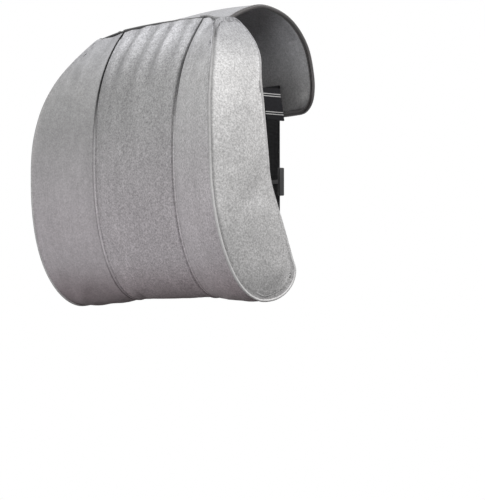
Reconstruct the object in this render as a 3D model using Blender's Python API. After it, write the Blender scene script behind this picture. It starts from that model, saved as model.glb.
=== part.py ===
"""A car neck pillow: a moulded foam block in a sewn suede cover, hung on a headrest.

A wide flap goes over the headrest and an elastic strap comes back under it.

The frame: +X is the end with the side tag, -Y is the side the neck rests on, +Z is up.
The origin is on the flat middle of the pillow's back, where it lies against the headrest.
All sizes are in metres.
"""
import math

import bmesh
import bpy
from mathutils import Matrix, Vector
from mathutils.kdtree import KDTree

# Overall form of the pillow
WIDTH = 0.280
TOP_Z = 0.1105
BOTTOM_Z = -0.1400
SEAM_REACH = 0.0435
WING_REACH = 0.0615
CENTRE_PANEL_WIDTH = 0.122
CORNER_DROP = 0.0085
SEAM_DROP = 0.0017
END_DROP = 0.0034
WIDEST_FRONT_Z = -0.020
SEAM_FULLNESS = (3.0, 2.0)
END_FULLNESS = (2.6, 2.2)
WING_EASE = 1.25

# Back of the pillow, seen from the side
FLAT_TOP_Z = 0.038
FLAT_BOTTOM_Z = -0.036
BACK_BEND = 0.015
SHOULDER_Z = 0.082
SHOULDER_DEPTH = 0.0104
HEEL_Z = -0.117
HEEL_DEPTH = 0.0285
CREST_Y = -0.001
CREST_RISE = 0.0006
END_CREST_RISE = 0.0030
TOP_EDGE_DEPTH = 0.009
CORNER_EDGE_DEPTH = 0.018
LOWEST_SEAM_Y = 0.005
LOWEST_END_Y = -0.004

# Half the pillow's width at a share of its height, from the bottom to the top corners
OUTLINE = ((0.0, 0.990), (0.16, 1.0), (0.40, 0.988), (0.56, 0.978), (0.72, 0.932), (0.84, 0.855),
           (0.92, 0.759), (1.0, 0.643))

# Cover
SKIN = 0.0020
GAP = 0.0003
SEAM_TRIM = 0.00018
HEM = 0.0010
END_EASE = 0.0004
PANEL_CROWN = 0.0026
WING_CROWN = 0.0022
END_CROWN = 0.0030
CENTRE_LOW_FULLNESS = -0.85
WING_LOW_FULLNESS = 0.5
SWELL_SQUARENESS = 2.6
LOW_SQUARENESS = 4.0
WING_LOW_SKEW = 0.35
PIPING_RADIUS = 0.0014
PIPING_LIFT = 0.0004

# Gathers where the centre panel is drawn into the top seam: place across, height of the ridge
GATHERS = ((-0.036, -0.0012), (-0.022, 0.0022), (0.000, 0.0006), (0.015, -0.0012), (0.027, 0.0022))
GATHER_WIDTH = 0.0062
GATHER_LENGTH = 0.062
GATHER_DIRECTION = (0, -0.93, 0.37)

# Zip across the lower back
ZIP_Z = -0.082
ZIP_SLOT = 0.0120
ZIP_LENGTH = 0.226
ZIP_PITCH = 0.0040
ROW_BACK = 0.0022
ROW_ROOT = 0.0013
ROW_TIP = 0.0006
ROW_THICKNESS = 0.0014
TAPE_THICKNESS = 0.0006
SLIDER_LENGTH = 0.0090
SLIDER_WIDTH = 0.0080
SLIDER_PLATE = 0.0008
SLIDER_FOOT = 0.0005
BRIDGE_HEIGHT = 0.0032
BRIDGE_WIRE = 0.0012
PULL_LENGTH = 0.0260
PULL_WIDTH = 0.0062
PULL_THICKNESS = 0.0010
PULL_WINDOW = 0.0047
PULL_HOLE = 0.0014
PULL_PLAY = 0.0004
STOP_LENGTH = 0.0030

# Flap over the headrest's top
FLAP_WIDTH = 0.118
FLAP_THICKNESS = 0.0030
FLAP_CROWN = 0.0025
FLAP_CORNER = 0.020
FLAP_END_Z = 0.030
BINDING_WIDTH = 0.0050
BINDING_THICKNESS = 0.0038
HEADREST_DEPTH = 0.116
FLAP_CREST_Y = 0.0565
FLAP_CREST_Z = 0.1240

# Strap behind and below the headrest
STRAP_WIDTH = 0.025
STRAP_THICKNESS = 0.0016
STRAP_OVERLAP = 0.030
STRAP_LOW_Z = HEEL_Z
STRAP_BEND = 0.018
STRAP_STITCHED = 0.012
ADJUSTER_Z = -0.030
ADJUSTER_HEIGHT = 0.026
ADJUSTER_RAIL = 0.0030
ADJUSTER_BAR = 0.0036
ADJUSTER_BAR_DEPTH = 0.0018
RING_WIRE = 0.0030
RING_LENGTH = 0.0150
HOOK_THICKNESS = 0.0022
HOOK_LENGTH = 0.026
HOOK_WIDTH = 0.0320
HOOK_BAR = 0.0030
TAB_LENGTH = 0.013

# Folded tag in the seam of the right end
TAG_Z = 0.0265
TAG_HEIGHT = 0.0290
TAG_REACH = 0.0195
TAG_CLOTH = 0.0005

# How finely the forms are divided
FRONT_ROWS_UPPER = 13
FRONT_ROWS_LOWER = 10
EDGE_ROWS = 4
SHOULDER_ROWS = 5
CENTRE_COLUMNS = 27
COARSE_STEP = 3
WING_COLUMNS = 6
FLAP_ROWS = 26
FLAP_COLUMNS = 8
CORNER_ROWS = 5

GREY_SUEDE = (0.36, 0.355, 0.36)
BACK_CLOTH = (0.30, 0.30, 0.31)
FOAM = (0.86, 0.82, 0.70)
CHARCOAL = (0.035, 0.035, 0.038)
BLACK_WEB = (0.020, 0.020, 0.022)
BLACK_PLASTIC = (0.018, 0.018, 0.020)
GUNMETAL = (0.18, 0.18, 0.19)


def clear_scene():
    for item in list(bpy.data.objects):
        bpy.data.objects.remove(item, do_unlink=True)


def paint(item, colour, roughness, metallic=0.0):
    """Give an object its own material."""
    material = bpy.data.materials.new(item.name)
    material.use_nodes = True
    shader = material.node_tree.nodes["Principled BSDF"]
    shader.inputs["Base Color"].default_value = (*colour, 1.0)
    shader.inputs["Roughness"].default_value = roughness
    shader.inputs["Metallic"].default_value = metallic
    item.data.materials.clear()
    item.data.materials.append(material)


def add_object(name, mesh, colour, roughness, metallic=0.0, smooth=True):
    item = bpy.data.objects.new(name, mesh)
    bpy.context.scene.collection.objects.link(item)
    if smooth:
        mesh.shade_smooth()
        mesh.set_sharp_from_angle(angle=math.radians(40))
    paint(item, colour, roughness, metallic)
    return item


def mesh_from(bm, name):
    bmesh.ops.recalc_face_normals(bm, faces=bm.faces[:])
    mesh = bpy.data.meshes.new(name)
    bm.to_mesh(mesh)
    bm.free()
    return mesh


def lerp(a, b, share):
    return a + (b - a) * share


def smooth_curve(points, at):
    """Read a smooth curve through (place, value) points, which never overshoots between them."""
    places = [p for p, _ in points]
    values = [v for _, v in points]
    at = min(max(at, places[0]), places[-1])
    steps = [(values[i + 1] - values[i]) / (places[i + 1] - places[i]) for i in range(len(points) - 1)]
    slopes = [steps[0]] + [0.0] * (len(points) - 2) + [steps[-1]]
    for i in range(1, len(points) - 1):
        if steps[i - 1] * steps[i] > 0:
            slopes[i] = 2 * steps[i - 1] * steps[i] / (steps[i - 1] + steps[i])
    i = max(k for k in range(len(points) - 1) if places[k] <= at)
    span = places[i + 1] - places[i]
    t = (at - places[i]) / span
    rise = (values[i] * (1 - t) ** 2 * (1 + 2 * t) + values[i + 1] * t ** 2 * (3 - 2 * t))
    return rise + span * (slopes[i] * t * (1 - t) ** 2 - slopes[i + 1] * t ** 2 * (1 - t))


def through(points, count):
    """A smooth path through 2-D points, given back as equal steps along its length."""
    fine = []
    padded = [points[0]] + list(points) + [points[-1]]
    for i in range(1, len(padded) - 2):
        a, b, c, d = (Vector(p) for p in padded[i - 1:i + 3])
        for k in range(20):
            t = k / 20
            fine.append(0.5 * ((2 * b) + (c - a) * t + (2 * a - 5 * b + 4 * c - d) * t * t
                               + (3 * b - a - 3 * c + d) * t ** 3))
    fine.append(Vector(points[-1]))
    lengths = [0.0]
    for a, b in zip(fine, fine[1:]):
        lengths.append(lengths[-1] + (b - a).length)
    path = []
    k = 0
    for i in range(count + 1):
        goal = lengths[-1] * i / count
        while k < len(lengths) - 2 and lengths[k + 1] < goal:
            k += 1
        share = (goal - lengths[k]) / (lengths[k + 1] - lengths[k])
        path.append(fine[k].lerp(fine[k + 1], share))
    return path


def arc(centre, radius, start, end, count):
    """Points on a circle in the YZ plane, by angle from +Y towards +Z, in degrees."""
    turns = [math.radians(lerp(start, end, i / count)) for i in range(count + 1)]
    return [(centre[0] + radius * math.cos(a), centre[1] + radius * math.sin(a)) for a in turns]


# The pillow's form: two side-view sections, one on the seams and one at the ends, lofted across

def half_width(z):
    share = (z - (BOTTOM_Z - END_DROP)) / (TOP_Z - CORNER_DROP - BOTTOM_Z + END_DROP)
    return 0.5 * WIDTH * smooth_curve(OUTLINE, share)


def front_rows(reach, top, edge_depth, low, top_power, low_power):
    """The front from the top seam down to the lowest point."""
    start_y = CREST_Y - edge_depth
    rows = []
    for i in range(FRONT_ROWS_UPPER):
        share = 1 - i / FRONT_ROWS_UPPER
        z = lerp(WIDEST_FRONT_Z, top, share)
        rows.append((-reach + (reach + start_y) * share ** top_power, z))
    for i in range(FRONT_ROWS_LOWER + 1):
        turn = math.radians(90 * i / FRONT_ROWS_LOWER)
        y = low[0] - (low[0] + reach) * math.cos(turn)
        rows.append((y, WIDEST_FRONT_Z + (low[1] - WIDEST_FRONT_Z) * math.sin(turn) ** (2 / low_power)))
    return rows


def heel_rows(low):
    """The bottom edge, from the lowest point round to the heel seam."""
    rows = []
    for i in range(1, EDGE_ROWS + 1):
        turn = math.radians(90 * i / EDGE_ROWS)
        rows.append((lerp(low[0], HEEL_DEPTH, math.sin(turn)), lerp(HEEL_Z, low[1], math.cos(turn))))
    return rows


def slope_point(z):
    """The plane of the lower back, which the zip lies in."""
    return (HEEL_DEPTH * (FLAT_BOTTOM_Z - z) / (FLAT_BOTTOM_Z - HEEL_Z), z)


def slope_lean():
    return math.atan2(HEEL_DEPTH, FLAT_BOTTOM_Z - HEEL_Z)


def zip_edges():
    half = 0.5 * ZIP_SLOT * math.cos(slope_lean())
    return ZIP_Z - half, ZIP_Z + half


def back_rows(crest_z):
    """The back from the heel seam up to the crest, as many rows as the front has."""
    low_edge, high_edge = zip_edges()
    bend_low, bend_high = FLAT_BOTTOM_Z - BACK_BEND, FLAT_BOTTOM_Z + BACK_BEND
    heights = [lerp(HEEL_Z, low_edge, 0.35), lerp(HEEL_Z, low_edge, 0.7), low_edge, high_edge,
               lerp(high_edge, bend_low, 0.5), bend_low]
    rows = [slope_point(z) for z in heights]
    for share in (0.33, 0.67):
        rows.append((rows[5][0] * (1 - share) ** 2, lerp(bend_low, bend_high, share)))
    rows += [(0.0, bend_high), (0.0, FLAT_TOP_Z)]
    for i in range(1, SHOULDER_ROWS + 1):
        share = i / SHOULDER_ROWS
        depth = 0.5 * SHOULDER_DEPTH * (1 - math.cos(math.pi * share))
        rows.append((depth, lerp(FLAT_TOP_Z, SHOULDER_Z, share)))
    left = FRONT_ROWS_UPPER + FRONT_ROWS_LOWER - len(rows)
    for i in range(1, left + 1):
        turn = math.radians(90 * i / left)
        depth = lerp(CREST_Y, SHOULDER_DEPTH, math.cos(turn))
        rows.append((depth, lerp(SHOULDER_Z, crest_z, math.sin(turn))))
    return rows


def section(reach, top, crest_z, edge_depth, low, powers):
    """One closed side view: front, bottom edge, back, then the narrow top back to the start."""
    rows = front_rows(reach, top, edge_depth, low, *powers)
    rows += heel_rows(low)
    rows += back_rows(crest_z)
    crest = Vector(rows[-1])
    start = Vector(rows[0])
    rows += [tuple(crest.lerp(start, i / EDGE_ROWS)) for i in range(1, EDGE_ROWS + 1)]
    return rows


def seam_section():
    top = TOP_Z - SEAM_DROP
    low = (LOWEST_SEAM_Y, BOTTOM_Z)
    return section(SEAM_REACH, top, top + CREST_RISE, TOP_EDGE_DEPTH, low, SEAM_FULLNESS)


def end_section():
    top = TOP_Z - CORNER_DROP
    low = (LOWEST_END_Y, BOTTOM_Z - END_DROP)
    return section(WING_REACH, top, top + END_CREST_RISE, CORNER_EDGE_DEPTH, low, END_FULLNESS)


FRONT_ROWS = FRONT_ROWS_UPPER + FRONT_ROWS_LOWER
HEEL_ROW = FRONT_ROWS + EDGE_ROWS
ZIP_ROW = HEEL_ROW + 3
CREST_ROW = HEEL_ROW + FRONT_ROWS
LAST_ROW = CREST_ROW + EDGE_ROWS


def lowness(row):
    """0 at the widest row of the front and above it, 1 at the pillow's bottom."""
    return min(1.0, max(0.0, (row - FRONT_ROWS_UPPER) / FRONT_ROWS_LOWER))


def crown_at(row, share, height, low_fullness):
    """How far a front panel swells between its seams; none at the top seam and on the back."""
    low = lowness(row)
    swell = height * (1 + low_fullness * low)
    swell *= 1 - abs(2 * share - 1) ** lerp(SWELL_SQUARENESS, LOW_SQUARENESS, low)
    if row <= FRONT_ROWS:
        return swell * min(1.0, 0.25 * row)
    return swell * max(0.0, (HEEL_ROW - row) / EDGE_ROWS)


def columns():
    """Each column across as (side, share across its panel): -1 and 1 are the wings, 0 is the centre."""
    left = [(-1, 1 - i / WING_COLUMNS) for i in range(WING_COLUMNS)]
    centre = [(0, i / CENTRE_COLUMNS) for i in range(CENTRE_COLUMNS + 1)]
    right = [(1, i / WING_COLUMNS) for i in range(1, WING_COLUMNS + 1)]
    return left + centre + right


def outer_tube():
    """The cover's outer surface without its ends, as rows of points from the left end to the right."""
    seams = seam_section()
    ends = end_section()
    half = 0.5 * CENTRE_PANEL_WIDTH
    grid = []
    for row, (seam, end) in enumerate(zip(seams, ends)):
        tangent = Vector(seams[(row + 1) % LAST_ROW]) - Vector(seams[row - 1 if row else LAST_ROW - 1])
        outward = Vector((tangent.y, -tangent.x)).normalized()
        line = []
        for side, share in columns():
            if side == 0:
                x = lerp(-half, half, share)
                place = Vector(seam) + outward * crown_at(row, share, PANEL_CROWN, CENTRE_LOW_FULLNESS)
                arch = SEAM_DROP * (1 - (x / half) ** 2) if row == 0 or row >= CREST_ROW - 2 else 0.0
                line.append(Vector((x, place.x, place.y + arch)))
            else:
                x = lerp(half, half_width(end[1]), share)
                place = Vector(seam).lerp(Vector(end), share ** WING_EASE)
                skewed = share ** (1 + WING_LOW_SKEW * lowness(row))
                place += outward * crown_at(row, skewed, WING_CROWN, WING_LOW_FULLNESS)
                line.append(Vector((side * x, place.x, place.y)))
        grid.append(line)
    return grid


def end_patch(tube, side):
    """The end's surface, spanned between the tube's border rows: top to bottom by front to back."""
    column = 0 if side < 0 else -1
    border = [row[column] for row in tube]
    front = border[:FRONT_ROWS + 1]
    bottom = border[FRONT_ROWS:HEEL_ROW + 1]
    back = list(reversed(border[HEEL_ROW:CREST_ROW + 1]))
    top = list(reversed(border[CREST_ROW:]))
    patch = []
    for i in range(FRONT_ROWS + 1):
        down = i / FRONT_ROWS
        line = []
        for j in range(EDGE_ROWS + 1):
            across = j / EDGE_ROWS
            ruled = front[i].lerp(back[i], across)
            capped = top[j].lerp(bottom[j], down)
            flat = (top[0].lerp(top[-1], across)).lerp(bottom[0].lerp(bottom[-1], across), down)
            point = ruled + capped - flat
            if 0 < i < FRONT_ROWS and 0 < j < EDGE_ROWS:
                swell = END_CROWN * (1 - (2 * across - 1) ** 2) * min(1.0, 4 * down, 4 * (1 - down))
                point.x = side * (half_width(point.z) + swell)
            line.append(point)
        patch.append(line)
    return patch


def lay_grid(bm, grid):
    """Add a grid of faces through rows of points; each vertex keeps its place in the grid."""
    wide = len(grid[0])
    tag = bm.verts.layers.int.get("place") or bm.verts.layers.int.new("place")
    made = bmesh.ops.create_grid(bm, x_segments=wide - 1, y_segments=len(grid) - 1, size=0.5)
    for index, vert in enumerate(made["verts"]):
        vert.co = grid[index // wide][index % wide]
        vert[tag] = index
    return made["verts"]


def closed_form(grids):
    """One closed skin from grids that share their borders."""
    bm = bmesh.new()
    for grid in grids:
        lay_grid(bm, grid)
    bmesh.ops.remove_doubles(bm, verts=bm.verts[:], dist=0.00002)
    bmesh.ops.recalc_face_normals(bm, faces=bm.faces[:])
    return bm


class Inset:
    """Moves points of the outer form inward, square to it, by an even depth."""

    def __init__(self, grids):
        bm = closed_form(grids)
        bm.normal_update()
        self.tree = KDTree(len(bm.verts))
        self.shift = []
        for index, vert in enumerate(bm.verts):
            self.tree.insert(vert.co, index)
            self.shift.append(-vert.normal * min(vert.calc_shell_factor(), 2.2))
        self.tree.balance()
        bm.free()

    def point(self, place, depth):
        return place + self.shift[self.tree.find(place)[1]] * depth

    def grid(self, rows, depth):
        return [[self.point(place, depth) for place in row] for row in rows]


def trimmed(grid, top=0.0, bottom=0.0, left=0.0, right=0.0):
    """Draw a grid's borders in by the given distances along its surface."""
    grid = [[place.copy() for place in row] for row in grid]

    def draw_in(edge, inner, distance):
        return [a + (b - a).normalized() * distance for a, b in zip(edge, inner)]

    if top:
        grid[0] = draw_in(grid[0], grid[1], top)
    if bottom:
        grid[-1] = draw_in(grid[-1], grid[-2], bottom)
    for row in grid:
        if left:
            row[0] = row[0] + (row[1] - row[0]).normalized() * left
        if right:
            row[-1] = row[-1] + (row[-2] - row[-1]).normalized() * right
    return grid


def drawn_in(grid, distance):
    """Draw the whole border of a patch in, square to it within the surface."""
    high, wide = len(grid) - 1, len(grid[0]) - 1
    loop = [(i, 0) for i in range(high)] + [(high, j) for j in range(wide)]
    loop += [(i, wide) for i in range(high, 0, -1)] + [(0, j) for j in range(wide, 0, -1)]
    result = [[place.copy() for place in row] for row in grid]
    for k, (i, j) in enumerate(loop):
        place = grid[i][j]
        before, after = (grid[a][b] - place for a, b in (loop[k - 1], loop[(k + 1) % len(loop)]))
        tangent = (after - before).normalized()
        within = grid[min(max(i, 1), high - 1)][min(max(j, 1), wide - 1)] - place
        inward = (within - tangent * within.dot(tangent)).normalized()
        opening = before.angle(after)
        result[i][j] = place + inward * distance / max(0.6, math.sin(0.5 * opening))
    return result


def sheet(name, outer, inner, colour, roughness):
    """A sheet of cloth as a closed solid between two matching grids."""
    bm = bmesh.new()
    lay_grid(bm, outer)
    tag = bm.verts.layers.int["place"]
    grown = bmesh.ops.extrude_face_region(bm, geom=bm.faces[:], use_keep_orig=True)
    wide = len(inner[0])
    for vert in grown["geom"]:
        if isinstance(vert, bmesh.types.BMVert):
            vert.co = inner[vert[tag] // wide][vert[tag] % wide]
    return add_object(name, mesh_from(bm, name), colour, roughness)


def piece_of(grid, rows, cols):
    return [row[cols[0]:cols[1] + 1] for row in grid[rows[0]:rows[1] + 1]]


def coarser(grid):
    """Keep fewer columns across the middle, for the pieces that carry no gathers there."""
    first, last = WING_COLUMNS, WING_COLUMNS + CENTRE_COLUMNS
    return [row[:first] + row[first:last:COARSE_STEP] + row[last:] for row in grid]


def gathered(grid):
    """Raise the gathers of the centre panel, which fade out down from the top seam."""
    result = []
    for row, line in enumerate(grid):
        new_line = []
        for place in line:
            depth = max(0.0, 1 - (TOP_Z - place.z) / GATHER_LENGTH) if row <= FRONT_ROWS else 0.0
            spread = 1 + 0.15 * (1 - depth)
            raised = sum(rise * math.exp(-((place.x - at * spread) / GATHER_WIDTH) ** 2)
                         for at, rise in GATHERS)
            raised *= depth ** 0.7 * min(1.0, 0.5 * row)
            new_line.append(place + Vector(GATHER_DIRECTION) * raised)
        result.append(new_line)
    return result


def build_cover(tube, inset):
    """The front, end and back panels of the cover, all from the one outer form."""
    inner = inset.grid(tube, SKIN)
    last = len(tube[0]) - 1
    left_seam = WING_COLUMNS
    right_seam = WING_COLUMNS + CENTRE_COLUMNS
    edge = PIPING_RADIUS + 2 * GAP
    front = (0, HEEL_ROW)
    spans = {"front_left_panel": (0, left_seam), "front_centre_panel": (left_seam, right_seam),
             "front_right_panel": (right_seam, last)}
    for name, cols in spans.items():
        outer_part = piece_of(tube, front, cols)
        if name == "front_centre_panel":
            outer_part = gathered(outer_part)
        at_left = edge if cols[0] == 0 else SEAM_TRIM
        at_right = edge if cols[1] == last else SEAM_TRIM
        outer_part = trimmed(outer_part, SEAM_TRIM, SEAM_TRIM, at_left, at_right)
        inner_part = trimmed(piece_of(inner, front, cols), SEAM_TRIM, SEAM_TRIM,
                             HEM if cols[0] == 0 else SEAM_TRIM, HEM if cols[1] == last else SEAM_TRIM)
        sheet(name, outer_part, inner_part, GREY_SUEDE, 0.95)
    halves = (("back_panel_lower", (HEEL_ROW, ZIP_ROW), SEAM_TRIM, 0.0),
              ("back_panel_upper", (ZIP_ROW + 1, LAST_ROW), 0.0, SEAM_TRIM))
    for name, rows, at_first, at_last in halves:
        outer_part = coarser(piece_of(tube, rows, (0, last)))
        inner_part = coarser(piece_of(inner, rows, (0, last)))
        sheet(name, trimmed(outer_part, at_first, at_last, edge, edge),
              trimmed(inner_part, at_first, at_last, HEM, HEM), BACK_CLOTH, 0.9)
    for name, side in (("end_panel_left", -1), ("end_panel_right", 1)):
        patch = end_patch(tube, side)
        outer_part = drawn_in(patch, edge)
        inner_part = drawn_in(inset.grid(patch, SKIN), HEM)
        sheet(name, outer_part, inner_part, GREY_SUEDE, 0.95)


def border_rows():
    """For each border cell of an end patch, the row of the tube that it lies on."""
    cells = {(i, 0): i for i in range(FRONT_ROWS + 1)}
    cells.update({(FRONT_ROWS, j): FRONT_ROWS + j for j in range(EDGE_ROWS + 1)})
    cells.update({(i, EDGE_ROWS): CREST_ROW - i for i in range(FRONT_ROWS + 1)})
    cells.update({(0, j): LAST_ROW - j for j in range(EDGE_ROWS + 1)})
    return cells


def build_core(tube, inset):
    """The moulded foam block that fills the cover."""
    depth = SKIN + GAP
    body = trimmed(inset.grid(coarser(tube), depth), left=END_EASE, right=END_EASE)
    body[-1] = [place.copy() for place in body[0]]
    grids = [body]
    for side in (-1, 1):
        face = inset.grid(end_patch(tube, side), depth + END_EASE)
        for (i, j), row in border_rows().items():
            face[i][j] = body[row][0 if side < 0 else -1].copy()
        grids.append(face)
    add_object("foam_core", mesh_from(closed_form(grids), "foam_core"), FOAM, 0.9)


def cord_object(name, points, radius, colour, roughness, closed=False, metallic=0.0, sides=2):
    """A round cord or wire along points."""
    curve = bpy.data.curves.new(name, "CURVE")
    curve.dimensions = "3D"
    curve.bevel_depth = radius
    curve.bevel_resolution = sides
    curve.use_fill_caps = True
    spline = curve.splines.new("POLY")
    spline.points.add(len(points) - 1)
    for target, place in zip(spline.points, points):
        target.co = (*place, 1.0)
    spline.use_cyclic_u = closed
    item = bpy.data.objects.new(name, curve)
    bpy.context.scene.collection.objects.link(item)
    paint(item, colour, roughness, metallic)
    return item


def build_piping(tube):
    """The thin covered cord sewn round each end, standing a little proud of the corner."""
    for name, column in (("piping_left", 0), ("piping_right", -1)):
        border = [row[column] for row in tube[:-1]]
        centre = sum(border, Vector()) / len(border)
        points = [place + (place - centre).normalized() * PIPING_LIFT for place in border]
        cord_object(name, points, PIPING_RADIUS, GREY_SUEDE, 0.95, closed=True, sides=1)


# Zip: made flat in its own frame, x along it, y up the slope, z out of the pillow

def zip_frame():
    """The frame of the zip, its z = 0 on the foam's surface."""
    y, z = slope_point(ZIP_Z)
    lean = slope_lean()
    outward = Vector((0, math.cos(lean), math.sin(lean)))
    up = Vector((0, -math.sin(lean), math.cos(lean)))
    along = up.cross(outward)
    origin = Vector((0, y, z)) - outward * (SKIN + GAP)
    turn = Matrix((along, up, outward)).transposed().to_4x4()
    return Matrix.Translation(origin) @ turn


def prism(bm, outline, low, high, plane="xy"):
    """Extrude a flat outline between two heights of the third axis."""
    order = {"xy": (0, 1, 2), "yz": (2, 0, 1), "xz": (0, 2, 1)}[plane]

    def place(*values):
        return [values[k] for k in order]

    verts = [bm.verts.new(place(a, b, low)) for a, b in outline]
    face = bm.faces.new(verts)
    grown = bmesh.ops.extrude_face_region(bm, geom=[face], use_keep_orig=True)
    shift = Vector(place(0, 0, high - low))
    bmesh.ops.translate(bm, verts=[v for v in grown["geom"] if isinstance(v, bmesh.types.BMVert)], vec=shift)


def box_outline(x0, x1, y0, y1):
    return [(x0, y0), (x1, y0), (x1, y1), (x0, y1)]


def prism_object(name, outline, low, high, colour, roughness, metallic=0.0, plane="xy", smooth=False):
    bm = bmesh.new()
    prism(bm, outline, low, high, plane)
    return add_object(name, mesh_from(bm, name), colour, roughness, metallic, smooth)


def zip_layers():
    """Heights of the zip's layers above the foam, from the slider's foot up to its top plate."""
    foot = (GAP, GAP + SLIDER_FOOT)
    rows = (foot[1] + GAP, foot[1] + GAP + ROW_THICKNESS)
    middle = 0.5 * (rows[0] + rows[1])
    tape = (middle - 0.5 * TAPE_THICKNESS, middle + 0.5 * TAPE_THICKNESS)
    plate = (rows[1] + GAP, rows[1] + GAP + SLIDER_PLATE)
    return foot, rows, tape, plate


def comb_outline(side, shift):
    """One row of teeth: a straight back with teeth towards the middle of the zip."""
    count = int(ZIP_LENGTH / ZIP_PITCH) - 1
    start = -0.5 * count * ZIP_PITCH + shift
    points = [(-0.5 * ZIP_LENGTH, side * ROW_BACK), (-0.5 * ZIP_LENGTH, side * ROW_ROOT)]
    for i in range(count):
        left = start + i * ZIP_PITCH
        right = left + 0.42 * ZIP_PITCH
        points += [(left, side * ROW_ROOT), (left + 0.0002, side * ROW_TIP),
                   (right - 0.0002, side * ROW_TIP), (right, side * ROW_ROOT)]
    points += [(0.5 * ZIP_LENGTH, side * ROW_ROOT), (0.5 * ZIP_LENGTH, side * ROW_BACK)]
    return points


def build_zip_rows(frame):
    rows, tape = zip_layers()[1:3]
    reach = half_width(ZIP_Z) - PIPING_RADIUS - 3 * GAP
    for name, side, shift in (("zip_teeth_upper", 1, 0.5 * ZIP_PITCH), ("zip_teeth_lower", -1, 0.0)):
        item = prism_object(name, comb_outline(side, shift), *rows, BLACK_PLASTIC, 0.4)
        item.matrix_world = frame
    for name, side in (("zip_tape_upper", 1), ("zip_tape_lower", -1)):
        near, far = ROW_BACK + GAP, 0.5 * ZIP_SLOT - GAP
        outline = box_outline(-reach, reach, side * near, side * far)
        item = prism_object(name, outline, *tape, CHARCOAL, 0.8)
        item.matrix_world = frame
    for name, side in (("zip_stop_left", 1), ("zip_stop_right", -1)):
        near = 0.5 * ZIP_LENGTH + GAP
        outline = box_outline(side * near, side * (near + STOP_LENGTH), -ROW_BACK, ROW_BACK)
        item = prism_object(name, outline, *rows, GUNMETAL, 0.35, 0.8)
        item.matrix_world = frame


def fuse(item, others):
    """Join other solids to one by Boolean unions; the others stay as hidden guides."""
    for other in others:
        other.hide_render = True
        other.display_type = "WIRE"
        union = item.modifiers.new("join " + other.name, "BOOLEAN")
        union.operation = "UNION"
        union.solver = "EXACT"
        union.object = other


def cut(item, others):
    """Cut other solids out of one; the others stay as hidden guides."""
    for other in others:
        other.hide_render = True
        other.display_type = "WIRE"
        cutter = item.modifiers.new("cut " + other.name, "BOOLEAN")
        cutter.operation = "DIFFERENCE"
        cutter.solver = "EXACT"
        cutter.object = other


def guide(name, outline, low, high, plane, frame):
    item = prism_object(name, outline, low, high, GUNMETAL, 0.4, plane=plane)
    item.matrix_world = frame
    return item


def slider_rest():
    return 0.5 * ZIP_LENGTH - 0.5 * SLIDER_LENGTH - GAP


def pull_axis_height():
    """The pull's hinge lies under the bridge, its bar clear of the slider's top plate."""
    return zip_layers()[3][1] + 0.5 * PULL_THICKNESS + PULL_PLAY


def build_slider(frame):
    """The slider: a foot under the teeth, a post between them, a plate above and a bridge for the pull."""
    foot, plate = zip_layers()[0], zip_layers()[3]
    half_l, half_w = 0.5 * SLIDER_LENGTH, 0.5 * SLIDER_WIDTH
    chamfer, taper = 0.25 * SLIDER_WIDTH, 0.72
    shape = [(-half_l, -half_w * taper), (half_l - chamfer, -half_w), (half_l, -half_w + chamfer),
             (half_l, half_w - chamfer), (half_l - chamfer, half_w), (-half_l, half_w * taper)]
    post = ROW_TIP - GAP
    place = frame @ Matrix.Translation((slider_rest(), 0, 0))
    item = prism_object("zip_slider", shape, *plate, GUNMETAL, 0.35, 0.8)
    item.matrix_world = place
    under = guide("slider_foot", shape, *foot, "xy", place)
    middle = guide("slider_post", box_outline(-0.6 * half_l, 0.6 * half_l, -post, post),
                   0.5 * sum(foot), 0.5 * sum(plate), "xy", place)
    sunk = plate[1] - 0.5 * SLIDER_PLATE
    outer = arc((0.0, plate[1]), BRIDGE_HEIGHT, 0, 180, 10)
    inner = arc((0.0, plate[1]), BRIDGE_HEIGHT - BRIDGE_WIRE, 180, 0, 10)
    arch = [(BRIDGE_HEIGHT, sunk)] + outer + [(-BRIDGE_HEIGHT, sunk), (BRIDGE_WIRE - BRIDGE_HEIGHT, sunk)]
    arch += inner + [(BRIDGE_HEIGHT - BRIDGE_WIRE, sunk)]
    bridge = guide("slider_bridge", arch, -0.5 * BRIDGE_WIRE, 0.5 * BRIDGE_WIRE, "xz", place)
    fuse(item, [middle, under, bridge])


def build_pull(frame):
    """The pull tab: a plate whose end bar lies under the slider's bridge and turns there."""
    half_w, half_t = 0.5 * PULL_WIDTH, 0.5 * PULL_THICKNESS
    place = frame @ Matrix.Translation((slider_rest(), 0, pull_axis_height()))
    tip = [(x - PULL_LENGTH + half_w, y) for x, y in arc((0.0, 0.0), half_w, 90, 270, 10)]
    shape = [(half_t, -half_w), (half_t, half_w)] + tip
    item = prism_object("zip_pull", shape, -half_t, half_t, GUNMETAL, 0.35, 0.8)
    item.matrix_world = place
    window_half = 0.5 * BRIDGE_WIRE + 3 * GAP
    window = box_outline(-half_t - PULL_WINDOW, -half_t, -window_half, window_half)
    hole = [(x - PULL_LENGTH + half_w, y) for x, y in arc((0.0, 0.0), PULL_HOLE, 0, 330, 11)]
    cut(item, [guide("pull_window", window, -2 * half_t, 2 * half_t, "xy", place),
               guide("pull_hole", hole, -2 * half_t, 2 * half_t, "xy", place)])


# Flap over the headrest: a path in the YZ plane, with the cloth spread across it

def flap_y():
    return HEADREST_DEPTH + 0.5 * FLAP_THICKNESS


def flap_corner_z():
    return FLAP_END_Z + FLAP_CORNER


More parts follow.
